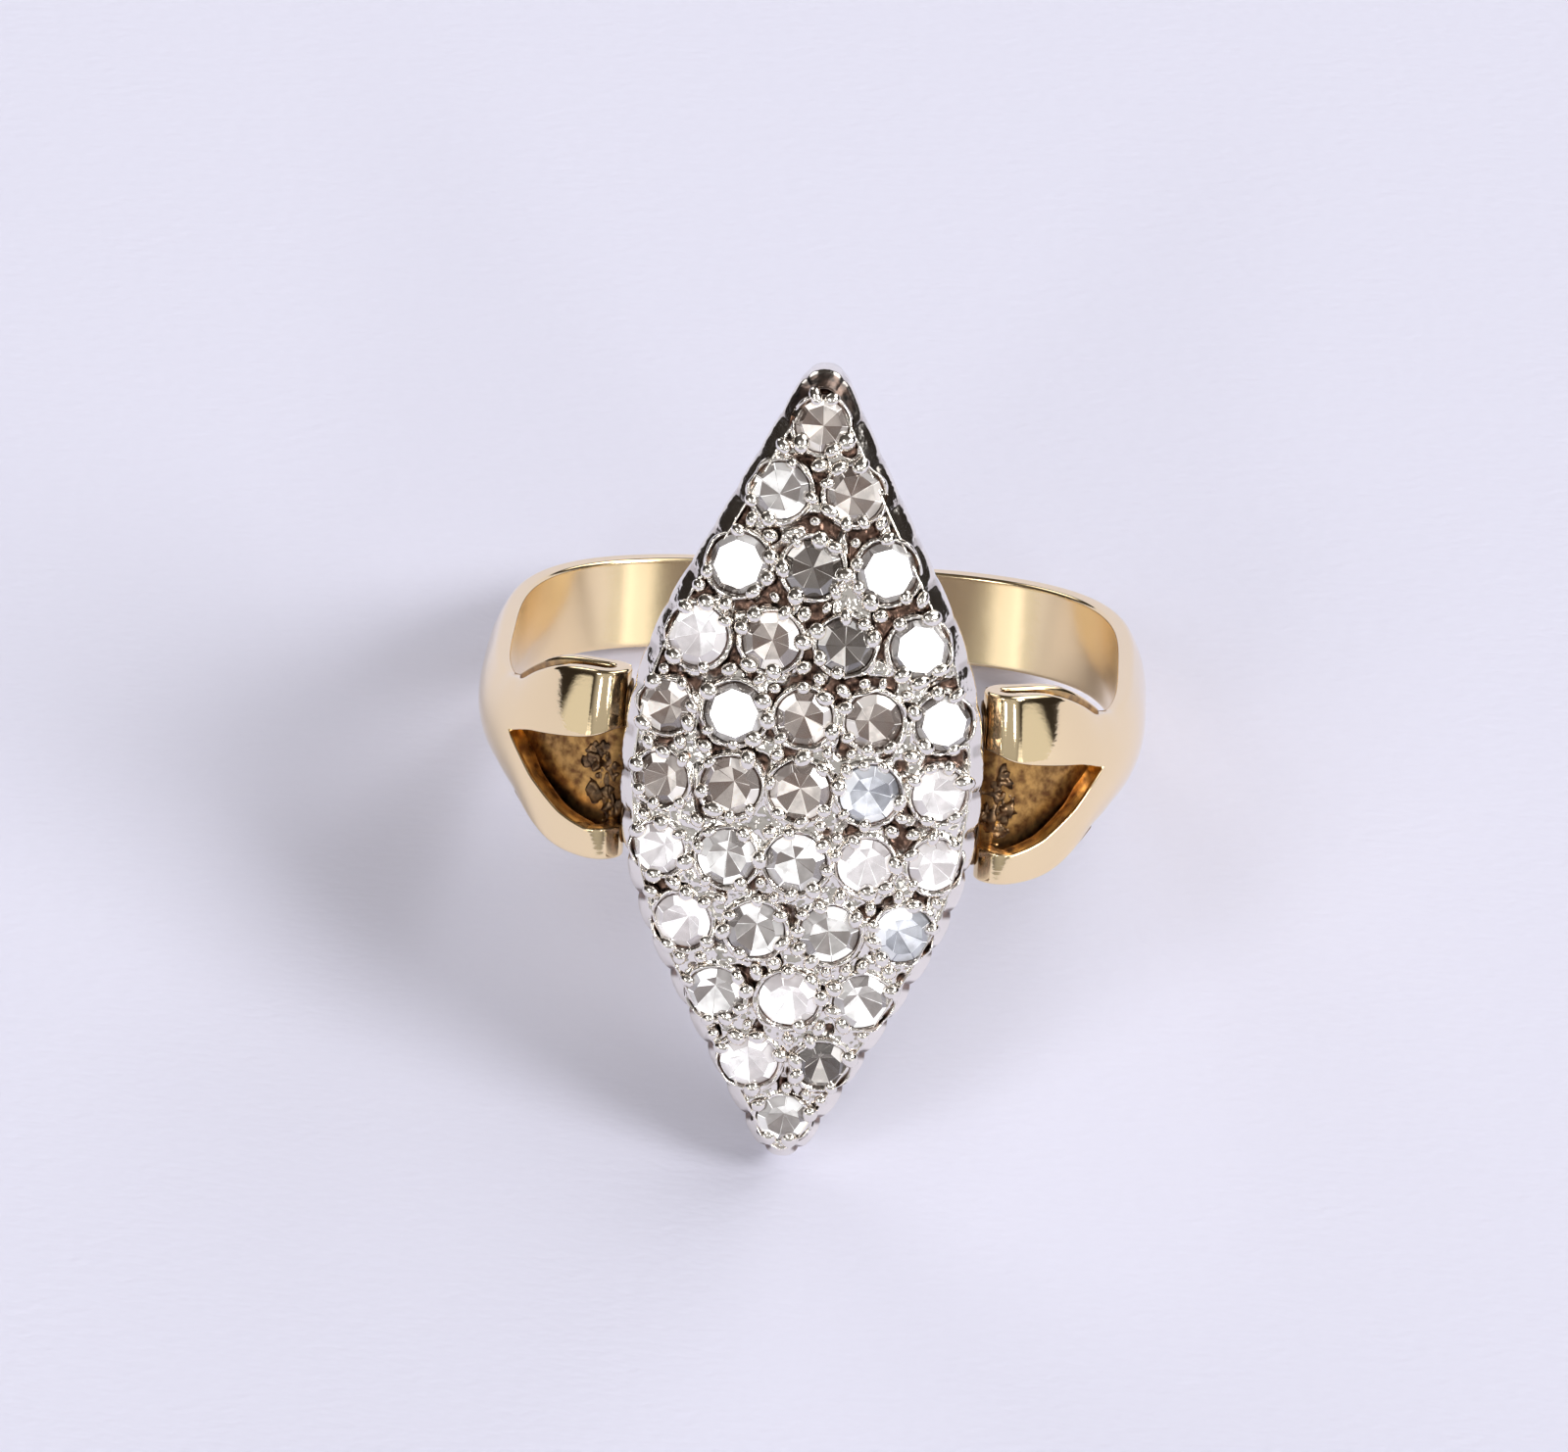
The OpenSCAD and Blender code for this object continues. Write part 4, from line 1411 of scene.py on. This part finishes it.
            # Painted shade: the part of each collar that dips into the seat is dark, as the shadow line
            # around the stone
            shells.append(Shell(points, quads, smoothstep(0.05, 0.03, profile[:, 0])))
        return self.dress(make_piece("head_collars", Shell.joined(shells), self.metal))

    def grain_places(self, tries: int = 26000, apart: float = 0.49) -> Array:
        """Places in plan for the grains, thrown at random and kept where they have room.

        A place is kept where it is beside a stone's edge or in a gap, inside the rim, and not too
        near a grain that was kept before it.

        Args:
            tries: how many places are thrown.
            apart: least distance between two grains.

        Returns:
            x, y and the distance beyond the nearest stone's edge, a row a grain.
        """
        inner = self.outline.inset(self.rim)
        edge_x, edge_y, _ = inner.quarter(400)
        corner = np.array([inner.half_w, edge_y[-1]])
        thrown = self.random.uniform(-corner, corner, (tries, 2))
        room = np.interp(np.abs(thrown[:, 1]), edge_y, edge_x) - np.abs(thrown[:, 0])
        points, _ = self.dome.at(thrown[:, 0], thrown[:, 1])
        beyond = self.dome.beyond(points)
        fits = (room > 0.04) & (beyond > -0.02) & ((beyond < 0.1) | (beyond > 0.3))
        kept = np.zeros((0, 3))
        for x, y, away in np.column_stack([thrown, beyond])[fits]:
            if not len(kept) or np.hypot(kept[:, 0] - x, kept[:, 1] - y).min() > apart:
                kept = np.vstack([kept, (x, y, away)])
        return kept[self.random.random(len(kept)) < self.GRAINS_KEPT]

    def grains(self, around: int = 12, rings: int = 6) -> bpy.types.Object:
        """The bead grains that hold the stones: small domes that overlap the stones' edges.

        Each is the upper part of a ball, squeezed a little, on the edge of its stone.

        Args:
            around: corners around a bead.
            rings: rings from its foot to its top.

        Returns:
            The piece.
        """
        turn = np.linspace(0, 2 * math.pi, around, endpoint=False)[None, :]
        rise = np.linspace(-0.6, math.pi / 2 - 0.12, rings)[:, None]
        lid = zipped((rings - 1) * around + np.arange(around))
        quads = np.concatenate([grid_faces(rings, around, True), lid])
        shells = []
        for at_x, at_y, away in self.grain_places():
            size = self.random.uniform(*(self.GRAIN_BESIDE_STONE if away < 0.2 else self.GRAIN_IN_GAP))
            stretch, spin = self.random.uniform(0.82, 1.2), self.random.uniform(0, math.pi)
            a = size * stretch * np.cos(rise) * np.cos(turn)
            b = size / stretch * np.cos(rise) * np.sin(turn)
            points, normals = self.dome.at(at_x + a * math.cos(spin) - b * math.sin(spin),
                                           at_y + a * math.sin(spin) + b * math.cos(spin))
            sunk = self.random.uniform(-0.07, -0.01)
            points = points + normals * (sunk + self.GRAIN_HEIGHT * size * np.sin(rise) + 0 * turn)[..., None]
            # Painted shade: each grain darkens towards its foot, for the dark outline where it meets the
            # plate
            shells.append(Shell(points, quads, smoothstep(0.3, 0.0, rise)))
        return self.dress(make_piece("head_grains", Shell.joined(shells), self.metal))

    def build(self) -> list[bpy.types.Object]:
        """All the head's pieces."""
        return [self.plate(), self.rim_strip(), self.under(), self.collars(), self.grains()]


@dataclass(frozen=True)
class SingleCut:
    """Shares of a single-cut stone's diameter, each flat face in one plane."""

    table: float
    crown: float = 0.115
    girdle: float = 0.03
    pavilion: float = 0.4
    facets: int = 8
    steps: tuple[float, ...] = (0.0, 0.03, 0.35, 0.65, 0.97)

    def corners(self, d: float, turn: float, shift: Array) -> tuple[Array, Array]:
        """Corners and quads of a stone about its girdle.

        The table is an octagon. The crown faces fall to the girdle's cylinder, and the pavilion
        faces fall from it to the culet, so that the girdle's edges rise towards each face's corner
        by the face's slope times the radius times 1 less the cosine of the angle from its middle.
        The pavilion is sheared sideways by the shift.

        Args:
            d: diameter.
            turn: turn about the stone's axis, in degrees.
            shift: sideways shift of the culet along x and y.

        Returns:
            Corners, and quads with a doubled corner where they are triangles.
        """
        r, count = d / 2, self.facets * len(self.steps)
        facet = 2 * math.pi / self.facets
        angle = (np.arange(self.facets)[:, None] + np.array(self.steps)).reshape(-1) * facet
        off = np.mod(angle + 1e-9, facet) - facet / 2
        flat = r * self.table * math.cos(math.pi / self.facets)
        slope = self.crown * d / (r - flat)
        fall = self.pavilion * d / r
        rise = r * (1 - np.cos(off))
        thick = self.girdle * d / 2
        x, y = np.cos(angle + math.radians(turn)), np.sin(angle + math.radians(turn))
        table_r = flat / np.cos(off)
        rings = [
            (0 * table_r, self.crown * d + thick + 0 * off),
            (table_r, self.crown * d + thick + 0 * off),
            (r + 0 * off, thick + slope * rise),
            (r + 0 * off, -thick - fall * rise),
            (0 * table_r, -thick - fall * r + 0 * off),
        ]
        points = np.stack([np.stack([reach * x, reach * y, high], -1) for reach, high in rings])
        points[..., :2] += shift * np.clip(-points[..., 2:] / (fall * r), 0, 1)
        return points.reshape(-1, 3), grid_faces(len(rings), count, True)

    def painted_glow(self, brightnesses: tuple[float, ...], random: np.random.Generator, flashes: bool) -> Array:
        """A value for each face, as PLAIN_TABLE and its neighbours say.

        Each pavilion and crown face takes one of the stone's brightnesses, in a random order, as painted
        light and shade, and the narrow edges between two faces are painted bright or dark.

        Args:
            brightnesses: what the faces may take.
            random: the source of the draws.
            flashes: whether the table mirrors a lamp.

        Returns:
            One value a quad, in the order of the quads.
        """
        def shuffled() -> Array:
            """The brightnesses in a new order, a little changed and squared, a row a face."""
            order = random.permutation(np.resize(brightnesses, self.facets))
            order = np.clip(order + random.normal(0, 0.06, self.facets), 0.05, 1.0) ** 2
            return np.repeat(order[:, None], len(self.steps), 1)

        back, crown = shuffled(), shuffled()
        back[:, [0, -1]] = random.choice([0.0, 1.0], (self.facets, 1), p=[0.4, 0.6])
        crown[:, [0, -1]] = random.choice([0.0, 1.0], (self.facets, 1))
        table = np.full(back.size, FLASHING_TABLE if flashes else PLAIN_TABLE)
        girdle = np.full(back.size, CROWN)
        # Painted light on the crown faces, dimmer on a stone whose table mirrors a lamp
        crown *= 0.3 if flashes else 0.9
        return np.concatenate([table, CROWN - crown.reshape(-1), girdle, back.reshape(-1)])


class Stones:
    """The 35 cut stones, each with its own table, tint, turn and lean."""

    # Row and column of the stones whose tables mirror a lamp
    FLASHING = {(2, 0), (2, 2), (3, 3), (4, 1), (4, 4)}
    # Turn of each stone against the one before, in degrees
    TURN = 17.0
    # Share of its seat that a stone fills, which leaves the dark line around it
    SLACK = 0.965
    # Refractive index of a plain table, which lets the inside show, and of the other clear faces
    SOFT_BEND, FULL_BEND = 1.5, 2.4
    # Slope of the greatest lean each way, and how many draws may look for one clear of the lamps
    LEAN, TRIES = 0.085, 60
    CLEAR_OF_LAMPS = math.cos(math.radians(7))

    def __init__(self, dome: Dome, lamps: Array, view: Array) -> None:
        """Keeps what the stones lean by.

        Args:
            dome: the domed surface.
            lamps: directions of the two lamps that only the flashing stones' tables mirror.
            view: direction to the camera from the upright ring.
        """
        self.dome, self.lamps, self.view = dome, lamps, view
        self.random = np.random.default_rng(SEED + 1)

    def lean(self, index: int, flashes: bool) -> Array:
        """A leaned normal, for a table that mirrors a lamp or keeps clear of both.

        Args:
            index: the stone's number.
            flashes: whether it mirrors the lamp that needs the least lean.

        Returns:
            The normal.
        """
        across, along, normal = axes_about(self.dome.normals[index])
        view = self.view
        if flashes:
            halves = self.lamps + view
            halves /= np.linalg.norm(halves, axis=1, keepdims=True)
            return halves[(halves @ normal).argmax()]
        for _ in range(self.TRIES):
            tip = self.random.uniform(-self.LEAN, self.LEAN, 2)
            leaned = normal + tip[0] * across + tip[1] * along
            leaned /= np.linalg.norm(leaned)
            mirrored = 2 * (leaned @ view) * leaned - view
            if (self.lamps @ mirrored).max() < self.CLEAR_OF_LAMPS:
                return leaned
        return normal

    def build(self) -> list[bpy.types.Object]:
        """Cuts, tints and sets every stone."""
        finishes = {tint.name: (tint.clear(self.SOFT_BEND), tint.back(), tint.clear(self.FULL_BEND))
                    for tint in StoneTint}
        pieces = []
        index = 0
        for row, tints in enumerate(TINTS):
            for column, tint in enumerate(tints.split()):
                flashes = (row, column) in self.FLASHING
                cut = SingleCut(0.82 if flashes else self.random.uniform(0.68, 0.78))
                shift = self.random.uniform(-0.09, 0.09, 2)
                normal = self.lean(index, flashes)
                d = 2 * self.dome.stones[index, 2] * self.SLACK
                points, quads = cut.corners(d, index * self.TURN, shift)
                centre = self.dome.centres[index] - self.dome.normals[index] * SIZES.set_depth
                painted_glow = cut.painted_glow(StoneTint[tint].value.brightnesses, self.random, flashes)
                shell = Shell(centre + points @ axes_about(normal), quads, 0.0, painted_glow)
                index += 1
                piece = make_piece(f"cut_stone_{index:02d}", shell, *finishes[tint],
                                   weld=0.0005, outward=True)
                piece.data.shade_flat()
                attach(piece, "root")
                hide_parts(f"stone_{index:02d}")
                pieces.append(piece)
        return pieces


@dataclass(frozen=True)
class Lamp:
    """Round lamps of the room in some directions of the upright ring; angles in degrees.

    A light below 0 takes light away, as a dark thing in the room does.
    """

    directions: tuple[tuple[float, float, float], ...]
    half_width: float
    soft: float
    light: float

    def middles(self) -> Array:
        """Unit directions to the middles of the lamps."""
        ends = np.array(self.directions)
        return ends / np.linalg.norm(ends, axis=1, keepdims=True)


class Studio:
    """The pale table, the dim room with its lamps, and the camera."""

    WALLS = (0.028, 0.023, 0.02)
    CEILING = (0.075, 0.069, 0.064)
    # First the two that the flashing tables mirror, then the rest of the room's light
    LAMPS = (
        Lamp(((-0.29, -0.004, 0.957), (0.36, -0.006, 0.933)), 3.5, 1.0, 14.0),
        Lamp(((0.5, 0.865, 0.067),), 20.0, 8.0, 2.4),
        Lamp(((0.7, 0.385, 0.593),), 11.0, 4.0, 14.0),
        Lamp(((-0.5, 0.372, 0.784),), 9.0, 2.0, 5.0),
        Lamp(((0.66, -0.27, 0.7), (-0.66, -0.27, 0.7)), 9.0, 4.0, 1.1),
        Lamp(((0.88, -0.22, 0.42), (-0.88, -0.22, 0.42)), 16.0, 3.0, 0.7),
        Lamp(((0.0, 0.0, 1.0),), 36.0, 14.0, 0.42),
        Lamp(((0.023, 0.266, 0.964),), 6.0, 2.0, -0.22),
        Lamp(((0.45, 0.78, -0.45), (-0.5, 0.78, -0.4)), 13.0, 4.0, 2.0),
    )
    CAMERA_DISTANCE = 300.0
    FOCAL_PIXELS = 9976.9
    IMAGE_WIDTH = 1600
    SENSOR = 36.0
    PITCH, YAW, ROLL = math.radians(15.422), math.radians(1.343), math.radians(3.243)
    SHIFT = (-0.909, -1.099)

    def camera_axes(self) -> Array:
        """The camera's right, up and back directions as rows, for the upright ring."""
        cy, sy = math.cos(self.YAW), math.sin(self.YAW)
        cb, sb = math.cos(self.PITCH), math.sin(self.PITCH)
        cr, sr = math.cos(self.ROLL), math.sin(self.ROLL)
        yaw = np.array([[cy, 0, -sy], [0, 1, 0], [sy, 0, cy]])
        pitch = np.array([[1, 0, 0], [0, cb, -sb], [0, sb, cb]])
        roll = np.array([[cr, sr, 0], [-sr, cr, 0], [0, 0, 1]])
        return roll @ pitch @ yaw

    def camera(self) -> None:
        """A camera at the photograph's angle and distance."""
        axes = self.camera_axes()
        place = np.array([*self.SHIFT, self.CAMERA_DISTANCE]) @ axes
        data = bpy.data.cameras.new("camera")
        data.sensor_width = self.SENSOR
        data.lens = self.SENSOR * self.FOCAL_PIXELS / self.IMAGE_WIDTH
        data.clip_start, data.clip_end = 0.01, 10.0
        camera = bpy.data.objects.new("camera", data)
        turned = Matrix(LAID.turn(axes).T.tolist()).to_4x4()
        camera.matrix_world = Matrix.Translation(Vector(LAID.place(place))) @ turned
        bpy.context.scene.collection.objects.link(camera)
        bpy.context.scene.camera = camera

    def table(self) -> None:
        """A large pale sheet under the ring."""
        mesh = bpy.data.meshes.new("table")
        reach = 3.0
        corners = [(-reach, -reach, 0), (reach, -reach, 0), (reach, reach, 0), (-reach, reach, 0)]
        mesh.from_pydata(corners, [], [(0, 1, 2, 3)])
        pen = NodePen("pale_sheet")
        pen.shader.inputs["Base Color"].default_value = (0.76, 0.755, 0.89, 1)
        pen.shader.inputs["Roughness"].default_value = 0.75
        pen.shader.inputs["Specular IOR Level"].default_value = 0.25
        grain = pen.noise(1800.0, 1.0, (1.0, 2.2, 1.0))
        pen.link(pen.bump(grain, 0.5, 0.00006), pen.shader.inputs["Normal"])
        mesh.materials.append(pen.material)
        table = bpy.data.objects.new("table", mesh)
        bpy.context.scene.collection.objects.link(table)

    def world(self) -> None:
        """A dim brownish room with its lamps.

        The room is darkest near the ground and lighter above. Each group of lamps adds its light
        times a smooth step of the angle from the nearest middle.
        """
        world = bpy.data.worlds.new("room")
        bpy.context.scene.world = world
        world.use_nodes = True
        tree = world.node_tree
        background = next(n for n in tree.nodes if n.type == "BACKGROUND")
        toward = tree.nodes.new("ShaderNodeTexCoord").outputs["Generated"]

        def node(kind: str, operation: str, *inputs: object) -> bpy.types.NodeSocket:
            """A node whose inputs are sockets or values; its first output."""
            made = tree.nodes.new(kind)
            made.operation = operation
            for socket, value in zip(made.inputs, inputs):
                if isinstance(value, bpy.types.NodeSocket):
                    tree.links.new(value, socket)
                else:
                    socket.default_value = value
            return next(o for o in made.outputs if o.enabled)

        def along(direction: Array) -> bpy.types.NodeSocket:
            """Cosine between the looked-at direction and another."""
            return node("ShaderNodeVectorMath", "DOT_PRODUCT", toward, tuple(direction))

        def step(value: bpy.types.NodeSocket, low: float, high: float, top: float) -> bpy.types.NodeSocket:
            """A smooth step from 0 at low to top at high."""
            made = tree.nodes.new("ShaderNodeMapRange")
            made.interpolation_type = "SMOOTHSTEP"
            for label, number in (("From Min", low), ("From Max", high), ("To Max", top)):
                made.inputs[label].default_value = number
            tree.links.new(value, made.inputs["Value"])
            return made.outputs["Result"]

        def tinted(light: bpy.types.NodeSocket, colour: tuple[float, float, float]) -> bpy.types.NodeSocket:
            """A colour times a light."""
            made = tree.nodes.new("ShaderNodeVectorMath")
            made.operation = "SCALE"
            made.inputs[0].default_value = colour
            tree.links.new(light, made.inputs["Scale"])
            return made.outputs[0]

        ceiling = tinted(step(along(np.array([0, 0, 1])), 0.15, 0.9, 1.0), self.CEILING)
        total = node("ShaderNodeVectorMath", "ADD", ceiling, self.WALLS)
        for lamp in self.LAMPS:
            half, soft = math.radians(lamp.half_width), math.radians(lamp.soft)
            nearest = None
            for middle in lamp.middles():
                cosine = along(LAID.turn(middle))
                nearest = cosine if nearest is None else node("ShaderNodeMath", "MAXIMUM", nearest, cosine)
            light = step(nearest, math.cos(half + soft), math.cos(max(half - soft, 0.0)), lamp.light)
            total = node("ShaderNodeVectorMath", "ADD", total, light)
        tree.links.new(total, background.inputs["Color"])

    def build(self) -> None:
        """Camera, table, room and lamps."""
        self.camera()
        self.table()
        self.world()
        view = bpy.context.scene.view_settings
        view.view_transform = "Standard"
        view.look = "None"
        view.exposure = 0.0
        view.gamma = 1.0


def main() -> None:
    """Builds the ring's pieces in order, then the studio around them."""
    logging.basicConfig(level=logging.INFO, format="%(message)s")
    dome, studio = Dome(SIZES), Studio()
    head, shank = Head(SIZES, dome), Shank(SIZES)
    stones = Stones(dome, studio.LAMPS[0].middles(), studio.camera_axes()[2])
    for piece in [shank.build(), shank.solder(head.outline), *head.build(), *stones.build()]:
        LOG.info("%s: %d faces", piece.name, len(piece.data.polygons))
    studio.build()


if __name__ == "__main__":
    main()
